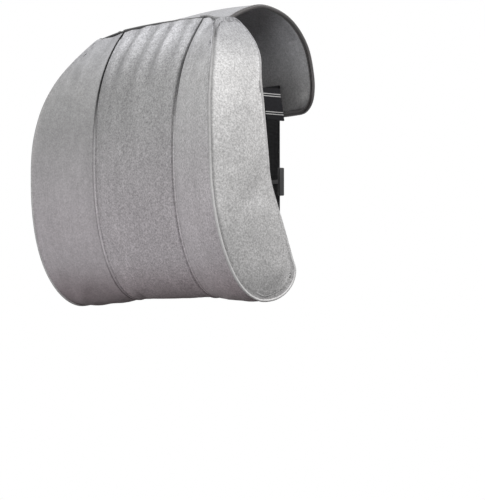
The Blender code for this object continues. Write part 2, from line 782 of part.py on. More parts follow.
def flap_route():
    """The middle of the cloth from the pillow's top back, over the crest, to the start of its corners."""
    root = Vector((SHOULDER_DEPTH - 0.0014, TOP_Z - 0.0062))
    crest = Vector((FLAP_CREST_Y, FLAP_CREST_Z))
    low = Vector((flap_y(), flap_corner_z() + 0.012))
    rise = ((0.0, 0.0), (0.112, 0.10), (0.27, 0.27), (0.474, 0.565), (0.715, 0.81), (1.0, 1.0))
    fall = ((0.252, 0.03), (0.512, 0.13), (0.74, 0.323), (0.91, 0.60), (1.0, 1.0))
    points = [(lerp(root.x, crest.x, a), lerp(root.y, crest.y, b)) for a, b in rise]
    points += [(lerp(crest.x, low.x, a), lerp(crest.y, low.y, b)) for a, b in fall]
    points.append((flap_y(), flap_corner_z()))
    return through(points, FLAP_ROWS)


def flap_rows(inset):
    """Rows of the flap as (place, outward, half width, crown), drawn in from its outer edge by inset."""
    route = flap_route()
    rows = []
    for i, place in enumerate(route):
        ahead = route[min(i + 1, FLAP_ROWS)] - route[max(i - 1, 0)]
        outward = Vector((-ahead.y, ahead.x)).normalized()
        crown = FLAP_CROWN * math.sin(math.pi * min(1.0, 0.12 + 1.35 * i / FLAP_ROWS))
        rows.append((place, outward, 0.5 * FLAP_WIDTH - inset, max(0.0, crown)))
    for k in range(1, CORNER_ROWS + 1):
        turn = math.radians(90 * k / CORNER_ROWS)
        place = Vector((flap_y(), flap_corner_z() - (FLAP_CORNER - inset) * math.sin(turn)))
        half = 0.5 * FLAP_WIDTH - FLAP_CORNER + (FLAP_CORNER - inset) * math.cos(turn)
        rows.append((place, Vector((1, 0)), half, 0.0))
    return rows


def flap_point(row, x, lift):
    place, outward, half, crown = row
    rise = crown * (1 - (2 * x / FLAP_WIDTH) ** 2)
    spot = place + outward * lift
    return Vector((x, spot.x, spot.y + rise))


def build_flap():
    rows = flap_rows(BINDING_WIDTH + GAP)
    grids = []
    for lift in (0.5 * FLAP_THICKNESS, -0.5 * FLAP_THICKNESS):
        grids.append([[flap_point(row, lerp(-row[2], row[2], j / FLAP_COLUMNS), lift)
                       for j in range(FLAP_COLUMNS + 1)] for row in rows])
    sheet("top_flap", grids[0], grids[1], GREY_SUEDE, 0.95)


def build_binding():
    """The dark tape folded over the flap's free edge: down one side, across the end and up the other."""
    edge = flap_rows(0.0)
    hem = flap_rows(BINDING_WIDTH)
    sides = [(a, b, 1) for a, b in zip(edge, hem)] + [(a, b, -1) for a, b in reversed(list(zip(edge, hem)))]
    grids = []
    for lift in (0.5 * BINDING_THICKNESS, -0.5 * BINDING_THICKNESS):
        grids.append([[flap_point(a, side * a[2], lift), flap_point(b, side * b[2], lift)]
                      for a, b, side in sides])
    sheet("flap_binding", grids[0], grids[1], CHARCOAL, 0.85)


# Strap, with its adjuster, hook, ring and tab, all built about the plane x = 0

def ribbon(name, route, thickness, width, colour, roughness, plane="yz"):
    """A flat band along a route in one plane, spread evenly to both sides of it."""
    route = [Vector(p) for p in route]
    left, right = [], []
    for i, place in enumerate(route):
        ahead = route[min(i + 1, len(route) - 1)] - route[max(i - 1, 0)]
        across = Vector((-ahead.y, ahead.x)).normalized() * 0.5 * thickness
        left.append(tuple(place + across))
        right.append(tuple(place - across))
    outline = left + right[::-1]
    return prism_object(name, outline, -0.5 * width, 0.5 * width, colour, roughness, plane=plane)


def strap_y():
    return flap_y() - 0.5 * BINDING_THICKNESS - GAP - 0.5 * STRAP_THICKNESS


def tab_bar_y():
    return HEEL_DEPTH + 2 * GAP + TAB_LENGTH


def hook_bar_y():
    return tab_bar_y() + RING_LENGTH


def hook_end_y():
    return hook_bar_y() + HOOK_LENGTH


def layer_shift():
    return 0.5 * (STRAP_THICKNESS + GAP)


def loop_radius():
    """The strap's turn round the end bar of the hook."""
    return 0.5 * math.hypot(HOOK_BAR, HOOK_THICKNESS) + GAP + 0.5 * STRAP_THICKNESS


def build_strap():
    """Sewn inside the flap's end, down behind the headrest, forward under it and round the hook."""
    z = STRAP_LOW_Z - layer_shift()
    upper_z = STRAP_LOW_Z + layer_shift()
    bar_y = hook_end_y() - 0.5 * HOOK_BAR
    neck = 0.5 * STRAP_STITCHED
    route = [(strap_y(), FLAP_END_Z + STRAP_OVERLAP), (strap_y(), z + 2 * STRAP_BEND)]
    route += arc((strap_y() - STRAP_BEND, z + STRAP_BEND), STRAP_BEND, 0, -90, 8)
    route += [(bar_y + STRAP_STITCHED, z), (bar_y + neck, z - 2 * GAP)]
    route += arc((bar_y, STRAP_LOW_Z), loop_radius(), 270, 90, 10)
    route += [(bar_y + neck, upper_z + 2 * GAP), (bar_y + STRAP_STITCHED, upper_z),
              (bar_y + 2 * STRAP_STITCHED, upper_z)]
    ribbon("elastic_strap", route, STRAP_THICKNESS, STRAP_WIDTH, BLACK_WEB, 0.85)


def build_adjuster():
    """A three-bar slide: the strap runs over its outer bars and under its middle bar."""
    inner_half = 0.5 * STRAP_WIDTH + 2 * GAP
    half_w = inner_half + ADJUSTER_RAIL
    half_h = 0.5 * ADJUSTER_HEIGHT
    channel = 0.5 * STRAP_THICKNESS + GAP
    half_d = channel + ADJUSTER_BAR_DEPTH
    place = Matrix.Translation((0, strap_y(), ADJUSTER_Z))
    item = prism_object("strap_adjuster", box_outline(-half_w, half_w, -half_h, half_h),
                        -half_d, half_d, BLACK_PLASTIC, 0.4, plane="xz")
    item.matrix_world = place
    bevel = item.modifiers.new("soft edges", "BEVEL")
    bevel.width = 0.0007
    bevel.segments = 2
    over = 2 * ADJUSTER_HEIGHT
    gap_half = 0.5 * ADJUSTER_BAR
    along = box_outline(-inner_half, inner_half, -over, over)
    guides = [guide("strap_channel", along, -channel, channel, "xz", place)]
    for name, side in (("upper_window", 1), ("lower_window", -1)):
        outline = box_outline(-inner_half, inner_half, side * gap_half, side * (half_h + 0.002))
        guides.append(guide("outer_" + name, outline, -2 * half_d, -0.5 * channel, "xz", place))
    window = box_outline(-inner_half, inner_half, -half_h + ADJUSTER_BAR, half_h - ADJUSTER_BAR)
    guides.append(guide("inner_window", window, 0.5 * channel, 2 * half_d, "xz", place))
    cut(item, guides)


def build_ring():
    """The rectangular wire ring that joins the tab to the hook."""
    low, high, bend = tab_bar_y(), hook_bar_y(), RING_WIRE
    half = 0.5 * HOOK_WIDTH + GAP + bend
    centres = ((half - bend, high - bend, 0), (bend - half, high - bend, 90), (bend - half, low + bend, 180),
               (half - bend, low + bend, 270))
    points = []
    for x, y, start in centres:
        points += [(a, b, STRAP_LOW_Z) for a, b in arc((x, y), bend, start, start + 90, 4)]
    cord_object("tab_ring", points, 0.5 * RING_WIRE, GUNMETAL, 0.35, closed=True, metallic=0.8)


def build_hook():
    """A flat plastic hook: its curl lies round the ring's bar, its end bar carries the strap."""
    turn = 0.5 * RING_WIRE + GAP + 0.5 * HOOK_THICKNESS
    y, z = hook_bar_y(), STRAP_LOW_Z
    route = [(hook_end_y(), z), (y + 0.012, z), (y + 0.008, z + 0.35 * turn), (y + 0.0035, z + 0.92 * turn)]
    route += arc((y, z), turn, 90, 270, 10)
    route += [(y + 0.0030, z - turn - 0.0002)]
    item = ribbon("strap_hook", route, HOOK_THICKNESS, HOOK_WIDTH, BLACK_PLASTIC, 0.4)
    slot_half = 0.5 * STRAP_WIDTH + 2 * GAP
    near = hook_end_y() - HOOK_BAR
    far = hook_end_y() - 0.5 * HOOK_BAR - loop_radius() - 0.5 * STRAP_THICKNESS - 2 * GAP
    slot = guide("hook_slot", box_outline(-slot_half, slot_half, far, near), z - HOOK_THICKNESS,
                 z + HOOK_THICKNESS, "xy", Matrix())
    cut(item, [slot])


def build_tab():
    """Short webbing sewn into the heel seam and folded round the ring's near bar."""
    turn = 0.5 * RING_WIRE + GAP + 0.5 * STRAP_THICKNESS
    root = HEEL_DEPTH + 2 * GAP
    route = [(root, STRAP_LOW_Z - layer_shift()), (root + 0.4 * TAB_LENGTH, STRAP_LOW_Z - layer_shift())]
    route += arc((tab_bar_y(), STRAP_LOW_Z), turn, 255, 465, 10)
    route += [(root + 0.4 * TAB_LENGTH, STRAP_LOW_Z + layer_shift()), (root, STRAP_LOW_Z + layer_shift())]
    ribbon("lower_tab", route, STRAP_THICKNESS, STRAP_WIDTH, BLACK_WEB, 0.85)


def build_tag():
    """A folded label sewn into the seam between the right end and the back."""
    top, bottom = TAG_Z + 0.5 * TAG_HEIGHT, TAG_Z - 0.5 * TAG_HEIGHT
    lean = math.atan2(half_width(bottom) - half_width(top), TAG_HEIGHT)
    root = PIPING_RADIUS + PIPING_LIFT + GAP
    half = TAG_CLOTH
    route = [(root, -half), (root + TAG_REACH - half, -half)]
    route += [(root + TAG_REACH - half + y, x) for y, x in arc((0.0, 0.0), half, -60, 60, 4)]
    route += [(root + TAG_REACH - half, half), (root, half)]
    item = ribbon("side_tag", [(x, y) for y, x in route], TAG_CLOTH, TAG_HEIGHT, CHARCOAL, 0.6, plane="xy")
    place = Vector((0.5 * (half_width(top) + half_width(bottom)) - 2 * TAG_CLOTH, 0, TAG_Z))
    item.matrix_world = Matrix.Translation(place) @ Matrix.Rotation(-lean, 4, "Y")


def main():
    clear_scene()
    tube = outer_tube()
    inset = Inset([tube, end_patch(tube, -1), end_patch(tube, 1)])
    build_core(tube, inset)
    build_cover(tube, inset)
    build_piping(tube)
    frame = zip_frame()
    build_zip_rows(frame)
    build_slider(frame)
    build_pull(frame)
    build_flap()
    build_binding()
    build_strap()
    build_adjuster()
    build_ring()
    build_hook()
    build_tab()
    build_tag()


main()
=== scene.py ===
# %% [markdown]
# A car neck pillow, dressed for its picture. The frame holds every solid of the pillow at its real place
# and size. This script never moves them. It gives each one its finish, and where a solid is only a plain
# stand-in for cloth, it builds the cloth itself: panels stretched over foam, sewn seams, piping, webbing
# and stitches.

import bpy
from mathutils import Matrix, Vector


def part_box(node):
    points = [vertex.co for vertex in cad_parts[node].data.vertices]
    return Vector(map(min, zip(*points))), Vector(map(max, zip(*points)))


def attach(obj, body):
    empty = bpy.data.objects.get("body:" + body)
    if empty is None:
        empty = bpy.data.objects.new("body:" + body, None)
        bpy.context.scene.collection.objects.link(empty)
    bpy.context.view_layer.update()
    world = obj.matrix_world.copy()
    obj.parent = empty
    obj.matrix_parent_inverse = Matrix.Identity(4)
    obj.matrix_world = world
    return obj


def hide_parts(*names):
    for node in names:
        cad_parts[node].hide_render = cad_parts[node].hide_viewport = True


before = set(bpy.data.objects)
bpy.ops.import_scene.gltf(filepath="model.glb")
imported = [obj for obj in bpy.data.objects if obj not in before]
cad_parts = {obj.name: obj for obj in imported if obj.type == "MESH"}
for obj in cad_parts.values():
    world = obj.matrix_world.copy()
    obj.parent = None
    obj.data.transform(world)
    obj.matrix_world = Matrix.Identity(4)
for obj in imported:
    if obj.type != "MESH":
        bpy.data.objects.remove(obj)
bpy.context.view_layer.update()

# %% [markdown]
# Meshes are built with bmesh, which works on the data itself and needs no selection. The two trees find the
# nearest face or point, and they answer questions such as how far a point lies from the foam or from a
# seam.

# %% Modules
import math

import bmesh
import bpy
from mathutils import Matrix, Vector
from mathutils.bvhtree import BVHTree
from mathutils.kdtree import KDTree

scene = bpy.context.scene
MM = 0.001

# %% [markdown]
# The camera comes first, because everything is judged through it. The photograph was taken from the
# pillow's right front, a little below its middle, with a long lens: the sides hardly converge. A camera
# could be moved by eye until it fits, but a few pixels would stay wrong. So the place, aim and lens below
# were worked out from the seams and the outline in the photograph.

# %% Camera
CAMERA_PLACE = (1.7025, -1.2497, -0.180)
CAMERA_YAW = 52.0
CAMERA_PITCH = 2.28
FOCAL_PIXELS = 2337.17
IMAGE_HEIGHT = 500
SENSOR = 36.0


def add_camera():
    data = bpy.data.cameras.new("camera")
    data.sensor_width = SENSOR
    data.lens = FOCAL_PIXELS * SENSOR / IMAGE_HEIGHT
    camera = bpy.data.objects.new("camera", data)
    camera.location = CAMERA_PLACE
    camera.rotation_euler = (math.radians(90 + CAMERA_PITCH), 0, math.radians(CAMERA_YAW))
    scene.collection.objects.link(camera)
    scene.camera = camera
    print("lens:", round(data.lens, 1), "mm")


add_camera()

# %% [markdown]
# Everything that has a look, the surround, the floor and each finish, is a small tree of nodes. A finish
# reads the piece's own place, so it stays on the piece when it moves. A picture wrapped round the piece
# would show its seams, and it would be the same each time it repeats. The helpers keep the trees short:
# they make a material, a noise, a ramp between two colours, a blend or a bump, or do arithmetic on two
# values.

# %% Helpers for node trees


def new_finish(name, roughness, **sockets):
    material = bpy.data.materials.new(name)
    material.use_nodes = True
    shader = material.node_tree.nodes["Principled BSDF"]
    shader.inputs["Roughness"].default_value = roughness
    for socket, value in sockets.items():
        shader.inputs[socket.replace("_", " ")].default_value = value
    return material, material.node_tree, shader


def place_of(tree, scale=(1, 1, 1), uv=False):
    """The piece's own coordinates, stretched by scale."""
    coords = tree.nodes.new("ShaderNodeTexCoord")
    mapping = tree.nodes.new("ShaderNodeMapping")
    mapping.inputs["Scale"].default_value = scale
    tree.links.new(coords.outputs["UV" if uv else "Object"], mapping.inputs["Vector"])
    return mapping.outputs[0]


def noise_of(tree, at, scale, detail=2.0, rough=0.5):
    node = tree.nodes.new("ShaderNodeTexNoise")
    node.inputs["Scale"].default_value = scale
    node.inputs["Detail"].default_value = detail
    node.inputs["Roughness"].default_value = rough
    tree.links.new(at, node.inputs["Vector"])
    return node.outputs["Fac"]


def ramp_of(tree, value, low, high, start=0.3, end=0.7):
    """Colours from low to high as value goes from start to end."""
    node = tree.nodes.new("ShaderNodeValToRGB")
    node.color_ramp.elements[0].position = start
    node.color_ramp.elements[0].color = (*low, 1)
    node.color_ramp.elements[1].position = end
    node.color_ramp.elements[1].color = (*high, 1)
    tree.links.new(value, node.inputs["Fac"])
    return node.outputs["Color"]


def mixed(tree, kind, a, b):
    """Blend two colours in full."""
    node = tree.nodes.new("ShaderNodeMix")
    node.data_type = "RGBA"
    node.blend_type = kind
    node.inputs["Factor"].default_value = 1.0
    tree.links.new(a, node.inputs["A"])
    tree.links.new(b, node.inputs["B"])
    return node.outputs["Result"]


def combine(tree, operation, a, b):
    """Arithmetic on two values; each is a socket or a number."""
    node = tree.nodes.new("ShaderNodeMath")
    node.operation = operation
    for slot, value in enumerate((a, b)):
        if isinstance(value, (int, float)):
            node.inputs[slot].default_value = value
        else:
            tree.links.new(value, node.inputs[slot])
    return node.outputs[0]


def bump(tree, shader, height, depth, strength=1.0):
    node = tree.nodes.new("ShaderNodeBump")
    node.inputs["Distance"].default_value = depth
    node.inputs["Strength"].default_value = strength
    tree.links.new(height, node.inputs["Height"])
    tree.links.new(node.outputs["Normal"], shader.inputs["Normal"])


def shade(value):
    return (value, value, value)


# %% [markdown]
# The studio is a white surround. It looks white to the camera, but lights the pillow only softly, so that
# the cloth keeps its middle grey. A light path node tells the two apart: it knows whether a ray comes from
# the camera or only carries light. A plain white world would be simpler, but it would wash all the form out
# of the cloth.

# %% Surround
SURROUND_LIGHT = 0.38


def seen_mask(tree):
    """One where the camera, a reflection or glass looks, zero where light only bounces."""
    path = tree.nodes.new("ShaderNodeLightPath")
    looked = combine(tree, "MAXIMUM", path.outputs["Is Camera Ray"], path.outputs["Is Glossy Ray"])
    return combine(tree, "MAXIMUM", looked, path.outputs["Is Transmission Ray"])


def add_surround():
    world = bpy.data.worlds.new("surround")
    world.use_nodes = True
    scene.world = world
    tree = world.node_tree
    plain = tree.nodes["Background"]
    plain.inputs["Color"].default_value = (1, 1, 1, 1)
    plain.inputs["Strength"].default_value = SURROUND_LIGHT
    white = tree.nodes.new("ShaderNodeBackground")
    white.inputs["Color"].default_value = (1, 1, 1, 1)
    mix = tree.nodes.new("ShaderNodeMixShader")
    tree.links.new(seen_mask(tree), mix.inputs["Fac"])
    tree.links.new(plain.outputs[0], mix.inputs[1])
    tree.links.new(white.outputs[0], mix.inputs[2])
    tree.links.new(mix.outputs[0], tree.nodes["World Output"].inputs["Surface"])


scene.view_settings.view_transform = "Standard"
add_surround()
print("surround light:", SURROUND_LIGHT)

# %% [markdown]
# The pale floor lies well below the pillow. It glows white far off, so that its edge melts into the
# surround, and is a matt grey nearby, so that it can take a shadow. Light that bounces from it finds it
# dark, because the underside of the pillow is dark in the photograph.

# %% Floor
FLOOR_Z = -0.46
FLOOR_RADIUS = 12.0
FLOOR_SEEN = (0.56, 0.56, 0.56, 1)
FLOOR_BOUNCED = (0.045, 0.04, 0.04, 1)
FLOOR_GLOW_NEAR, FLOOR_GLOW_FAR = 0.55, 1.0
FLOOR_NEAR, FLOOR_FAR = 0.35, 1.5


def add_floor():
    bm = bmesh.new()
    bmesh.ops.create_circle(bm, cap_ends=True, segments=64, radius=FLOOR_RADIUS)
    bmesh.ops.translate(bm, verts=bm.verts, vec=(0, 0, FLOOR_Z))
    mesh = bpy.data.meshes.new("floor")
    bm.to_mesh(mesh)
    bm.free()
    floor = bpy.data.objects.new("floor", mesh)
    scene.collection.objects.link(floor)
    material, tree, matt = new_finish("floor", 0.9)
    seen = seen_mask(tree)
    colour = tree.nodes.new("ShaderNodeMix")
    colour.data_type = "RGBA"
    colour.inputs["A"].default_value = FLOOR_BOUNCED
    colour.inputs["B"].default_value = FLOOR_SEEN
    tree.links.new(seen, colour.inputs["Factor"])
    tree.links.new(colour.outputs["Result"], matt.inputs["Base Color"])
    glow = tree.nodes.new("ShaderNodeEmission")
    glow.inputs["Color"].default_value = (1, 1, 1, 1)
    coords = tree.nodes.new("ShaderNodeTexCoord")
    away = tree.nodes.new("ShaderNodeVectorMath")
    away.operation = "LENGTH"
    tree.links.new(coords.outputs["Object"], away.inputs[0])
    fade = tree.nodes.new("ShaderNodeMapRange")
    fade.interpolation_type = "SMOOTHSTEP"
    fade.inputs["From Min"].default_value = FLOOR_NEAR
    fade.inputs["From Max"].default_value = FLOOR_FAR
    fade.inputs["To Min"].default_value = FLOOR_GLOW_NEAR
    fade.inputs["To Max"].default_value = FLOOR_GLOW_FAR
    tree.links.new(away.outputs["Value"], fade.inputs["Value"])
    mix = tree.nodes.new("ShaderNodeMixShader")
    tree.links.new(combine(tree, "MULTIPLY", seen, fade.outputs["Result"]), mix.inputs["Fac"])
    tree.links.new(matt.outputs[0], mix.inputs[1])
    tree.links.new(glow.outputs[0], mix.inputs[2])
    tree.links.new(mix.outputs[0], tree.nodes["Material Output"].inputs["Surface"])
    mesh.materials.append(material)


add_floor()
print("floor at", FLOOR_Z, "m")

# %% [markdown]
# Three round soft lamps light the cloth. The key lamp, high on the right, gives the bright top and the
# bright end. Two weaker ones in front keep the front from going flat. Their powers were found by rendering
# each lamp alone and solving for the mix that gives the levels of the photograph, which is quicker and
# closer than trying by eye.

# %% Lamps
LAMPS = {
    "key": {"place": (1.65, 0.28, 1.95), "size": 0.8, "power": 53, "colour": (1.0, 0.99, 0.975)},
    "left": {"place": (-1.30, -2.00, 0.20), "size": 1.2, "power": 13.5, "colour": (1.0, 1.0, 1.0)},
    "right": {"place": (1.30, -1.90, 0.55), "size": 1.0, "power": 20.5, "colour": (1.0, 1.0, 1.0)},
}
LAMP_AIM = Vector((0, 0, -0.02))


def add_lamp(name, place, size, power, colour):
    data = bpy.data.lights.new(name, "AREA")
    data.shape = "DISK"
    data.color = colour
    data.size = size
    data.energy = power
    lamp = bpy.data.objects.new(name, data)
    lamp.location = place
    lamp.rotation_euler = (Vector(place) - LAMP_AIM).to_track_quat("Z", "Y").to_euler()
    scene.collection.objects.link(lamp)


for lamp_name, facts in LAMPS.items():
    add_lamp(lamp_name, **facts)
print("lamps:", len(LAMPS))

# %% [markdown]
# The pillow's colour is painted with the light, a little from top to bottom, as the photograph shows:
# painted lighter and cooler at the top, warmer below, and painted shade where the front rolls under. These
# helpers tell how high a point lies, as a share from 0 to 1. Another reads the painted shading, a value on
# each vertex of a panel that paints shade into its seams and the valleys of its folds, and light onto some
# ridges.

# %% Heights and painted shading


def height_of(tree, at, axis="Z"):
    split = tree.nodes.new("ShaderNodeSeparateXYZ")
    tree.links.new(at, split.inputs[0])
    return split.outputs[axis]


def share_along(tree, at, low, high, least=0.0, axis="Z"):
    """0 or least at the height low, 1 at the height high; or the same along Y."""
    share = tree.nodes.new("ShaderNodeMapRange")
    share.interpolation_type = "SMOOTHSTEP"
    share.inputs["From Min"].default_value = low
    share.inputs["From Max"].default_value = high
    share.inputs["To Min"].default_value = least
    tree.links.new(height_of(tree, at, axis), share.inputs["Value"])
    return share.outputs["Result"]


def with_painted_shading(tree, colour):
    """The colour times one plus the piece's painted shading, which paints shade into its seams and folds and
    light onto some of their ridges.
    """
    own = tree.nodes.new("ShaderNodeAttribute")
    own.attribute_name = "painted_shading"
    return mixed(tree, "MULTIPLY", colour, combine(tree, "ADD", own.outputs["Fac"], 1.0))


# %% [markdown]
# Suede is a short brushed nap. Close up it is a fine light and dark speckle, about a millimetre across,
# where the fibres lie different ways. Further off there are soft patches where a hand has stroked it. Real
# hairs would take far too many faces for a nap this short, so noises of several sizes give the speckle, the
# tufts and the patches. The fibres stand up, so a form looks lighter where it turns away, and the sheen
# does that.

# %% Suede
SUEDE_GREY = (0.43, 0.428, 0.43)
CLOUD_SCALE, TUFT_SCALE, NAP_SCALE, FIBRE_SCALE = 14, 190, 620, 1700
STREAK_SCALE = (95, 60, 9)
FOLD_TOP, FOLD_END, FOLD_LEAST = 0.112, 0.030, 0.25
# Painted light by height: a warmer tint low down, a cooler one at the top, and painted shade where the front
# rolls under, which fades out towards the back.
LOW_PAINTED_TINT, HIGH_PAINTED_TINT = (1.0, 0.945, 0.985), (0.985, 0.995, 1.035)
LOW_Z, MIDDLE_Z, HIGH_Z = -0.10, 0.045, 0.11
ROLL_LOW, ROLL_HIGH = -0.142, -0.100
HEEL_FRONT, HEEL_BACK = -0.005, 0.025
NEUTRAL, ROLL_PAINTED_SHADE, ROLL_PAINTED_GREY = (1.0, 1.0, 1.0), (0.76, 0.69, 0.70), (0.74, 0.74, 0.74)


def suede(name, speckle, cloud, folds, light_and_shade=(1.0, 1.0, 1.0), low_tint=LOW_PAINTED_TINT, roll_shade=ROLL_PAINTED_SHADE):
    """Suede: speckle, cloud and folds are how much it varies; the three levels of painted light and shade
    are low, half way up and high.
    """
    material, tree, shader = new_finish(name, 0.95, Sheen_Weight=0.18, Sheen_Roughness=0.4,
                                        Specular_IOR_Level=0.12)
    at = place_of(tree)
    dark, light = ([c * s for c in SUEDE_GREY] for s in (1 - cloud, 1 + cloud))
    base = ramp_of(tree, noise_of(tree, at, CLOUD_SCALE, 3, 0.55), dark, light)
    nap = noise_of(tree, at, NAP_SCALE, 3, 0.75)
    grain = ramp_of(tree, nap, shade(1 - speckle), shade(1 + speckle), 0.36, 0.64)
    tufts = ramp_of(tree, noise_of(tree, at, TUFT_SCALE, 2, 0.6), shade(0.95), shade(1.05), 0.35, 0.65)
    streaks = noise_of(tree, place_of(tree, STREAK_SCALE), 1.0, 2, 0.5)
    brushed = ramp_of(tree, streaks, shade(1 - folds), shade(1 + folds), 0.36, 0.64)
    # Painted light and shade by height, from the three levels given, with the warmer tint low down and the
    # cooler one at the top.
    low, high = [c * light_and_shade[0] for c in low_tint], [c * light_and_shade[2] / light_and_shade[1] for c in HIGH_PAINTED_TINT]
    lower = ramp_of(tree, share_along(tree, at, LOW_Z, MIDDLE_Z), low, shade(light_and_shade[1]), 0.0, 1.0)
    upper = ramp_of(tree, share_along(tree, at, MIDDLE_Z, HIGH_Z), shade(1.0), high, 0.0, 1.0)
    tint = mixed(tree, "MULTIPLY", lower, upper)
    # Painted shade where the front rolls under, fading out towards the back.
    above = combine(tree, "MAXIMUM", share_along(tree, at, ROLL_LOW, ROLL_HIGH),
                    share_along(tree, at, HEEL_FRONT, HEEL_BACK, axis="Y"))
    roll_shaded = ramp_of(tree, above, roll_shade, NEUTRAL, 0.0, 1.0)
    tint = mixed(tree, "MULTIPLY", tint, roll_shaded)
    mottled = mixed(tree, "MULTIPLY", base, grain)
    mottled = mixed(tree, "MULTIPLY", mottled, mixed(tree, "MULTIPLY", tufts, tint))
    folded = mixed(tree, "MULTIPLY", mottled, brushed)
    share = tree.nodes.new("ShaderNodeMix")
    share.data_type = "RGBA"
    tree.links.new(share_along(tree, at, FOLD_END, FOLD_TOP, FOLD_LEAST), share.inputs["Factor"])
    tree.links.new(mottled, share.inputs["A"])
    tree.links.new(folded, share.inputs["B"])
    tree.links.new(with_painted_shading(tree, share.outputs["Result"]), shader.inputs["Base Color"])
    fibres = combine(tree, "ADD", nap, combine(tree, "MULTIPLY", noise_of(tree, at, FIBRE_SCALE, 2), 0.5))
    bump(tree, shader, fibres, 0.35 * MM, 0.6)
    return material


# Each copy of the suede has painted light and shade of its own, by height, as the light falls on its panel;
# the piping's is painted lighter low down and darker at the top.
finishes = {
    "suede": suede("suede", 0.32, 0.10, 0.16, (1.19, 0.88, 1.09)),
    "suede_left": suede("suede_left", 0.15, 0.07, 0.08, (1.19, 0.88, 0.90)),
    "suede_right": suede("suede_right", 0.28, 0.08, 0.12, (1.25, 1.20, 1.12)),
    "suede_end": suede("suede_end", 0.30, 0.13, 0.04, (1.08, 1.27, 0.82), NEUTRAL, ROLL_PAINTED_GREY),
    "suede_flap": suede("suede_flap", 0.20, 0.07, 0.0),
    "suede_edge": suede("suede_edge", 0.10, 0.04, 0.0, (1.40, 0.92, 0.45), NEUTRAL, NEUTRAL),
}
print("suedes:", len(finishes))

# %% [markdown]
# The other cloths are plainer. The back is a knitted lining, so its pattern is rows of small loops: two
# waves that cross. The zip tape is woven, the binding is a soft dark tape with some shine, and the label is
# smooth woven satin with pairs of thin light bars. A wave texture gives a pattern that repeats evenly, as a
# loom does, where a noise would look like felt.

# %% Lining, tapes and label
RIBS_PER_SCALE = math.pi / 10
BAR_LIGHT = 0.45
CORD_PITCH, CORD_SHARE = 1.6, 0.6


def ribs_of(tree, at, axis, pitch, distortion=0.0, detail_scale=1.0):
    """Waves that repeat along an axis, one to each pitch."""
    wave = tree.nodes.new("ShaderNodeTexWave")
    wave.bands_direction = axis
    wave.inputs["Scale"].default_value = RIBS_PER_SCALE / pitch
    wave.inputs["Distortion"].default_value = distortion
    wave.inputs["Detail Scale"].default_value = detail_scale
    tree.links.new(at, wave.inputs["Vector"])
    return wave.outputs["Fac"]


def knit(name, low, high, pitch):
    """Rows of small loops, square to each other, as on a warp knit."""
    material, tree, shader = new_finish(name, 0.85, Sheen_Weight=0.15)
    at = place_of(tree)
    across, upward = (ribs_of(tree, at, axis, pitch, 0.4) for axis in ("X", "Z"))
    loops = combine(tree, "MULTIPLY", across, upward)
    tint = ramp_of(tree, loops, low, high, 0.1, 0.8)
    soft = ramp_of(tree, noise_of(tree, at, 30, 2), shade(0.93), shade(1.05))
    tree.links.new(with_painted_shading(tree, mixed(tree, "MULTIPLY", tint, soft)), shader.inputs["Base Color"])
    bump(tree, shader, loops, 0.3 * MM, 0.6)
    return material


def woven(name, colour, along, pitch, rough=0.8, shine=0.3, bars=(), bar_half=0.0):
    """Fine ribs square to the tape's run, on the axis along. Bars are the heights of light bars."""
    material, tree, shader = new_finish(name, rough, Sheen_Weight=0.0, Specular_IOR_Level=shine)
    at = place_of(tree)
    ribs = ribs_of(tree, at, along, pitch, 0.8, 3)
    fuzz = noise_of(tree, at, 900, 2)
    low, high = ([c * s for c in colour] for s in (0.6, 1.25))
    tint = ramp_of(tree, ribs, low, high, 0.1, 0.9)
    speck = ramp_of(tree, fuzz, shade(0.8), shade(1.2), 0.3, 0.7)
    cloth = mixed(tree, "MULTIPLY", tint, speck)
    for height in bars:
        off = combine(tree, "ABSOLUTE", combine(tree, "SUBTRACT", height_of(tree, at), height), 0.0)
        light = combine(tree, "MULTIPLY", combine(tree, "LESS_THAN", off, bar_half), BAR_LIGHT)
        cloth = mixed(tree, "ADD", cloth, light)
    tree.links.new(cloth, shader.inputs["Base Color"])
    bump(tree, shader, combine(tree, "ADD", ribs, fuzz), 0.2 * MM, 0.6)
    return material


def webbing(name, colour, pitch):
    """Ribbed elastic: cross ribs along its run, from its own UV map, and fine cords side by side."""
    material, tree, shader = new_finish(name, 0.75, Sheen_Weight=0.05, Specular_IOR_Level=0.3)
    ribs = ribs_of(tree, place_of(tree, uv=True), "Y", pitch, 0.3)
    cords = ribs_of(tree, place_of(tree), "X", CORD_PITCH * pitch)
    height = combine(tree, "ADD", ribs, combine(tree, "MULTIPLY", cords, CORD_SHARE))
    low, high = ([c * s for c in colour] for s in (0.5, 1.5))
    tint = ramp_of(tree, height, low, high, 0.2, 0.875)
    tree.links.new(tint, shader.inputs["Base Color"])
    bump(tree, shader, height, 0.25 * MM, 0.8)
    return material


finishes["lining"] = knit("lining", (0.24, 0.24, 0.245), (0.31, 0.31, 0.315), 1.6 * MM)
finishes["zip_tape"] = woven("zip_tape", (0.05, 0.05, 0.055), "X", 0.9 * MM)
finishes["binding"] = woven("binding", (0.046, 0.041, 0.041), "Y", 0.8 * MM, 0.38, 0.7)
finishes["label"] = woven("label", (0.012, 0.012, 0.014), "Z", 0.5 * MM, 0.6, 0.08,
                          (0.0175, 0.0195, 0.0335, 0.0355), 0.35 * MM)
finishes["webbing"] = webbing("webbing", (0.018, 0.018, 0.020), 1.3 * MM)
print("cloths so far:", len(finishes))

# %% [markdown]
# The hard fittings are black acetal and plated metal. Moulded plastic has a very fine texture from its
# mould and its shine is a little uneven. Plated metal is smooth, with faint scratches that break up its
# reflections. Thread is twisted, and foam is made of small cells. Each of these is one or two noises: none
# is big enough in the picture to need more.

# %% Plastic, metal, thread and foam
VALLEY_LOW, VALLEY_HIGH = -0.02, 0.075


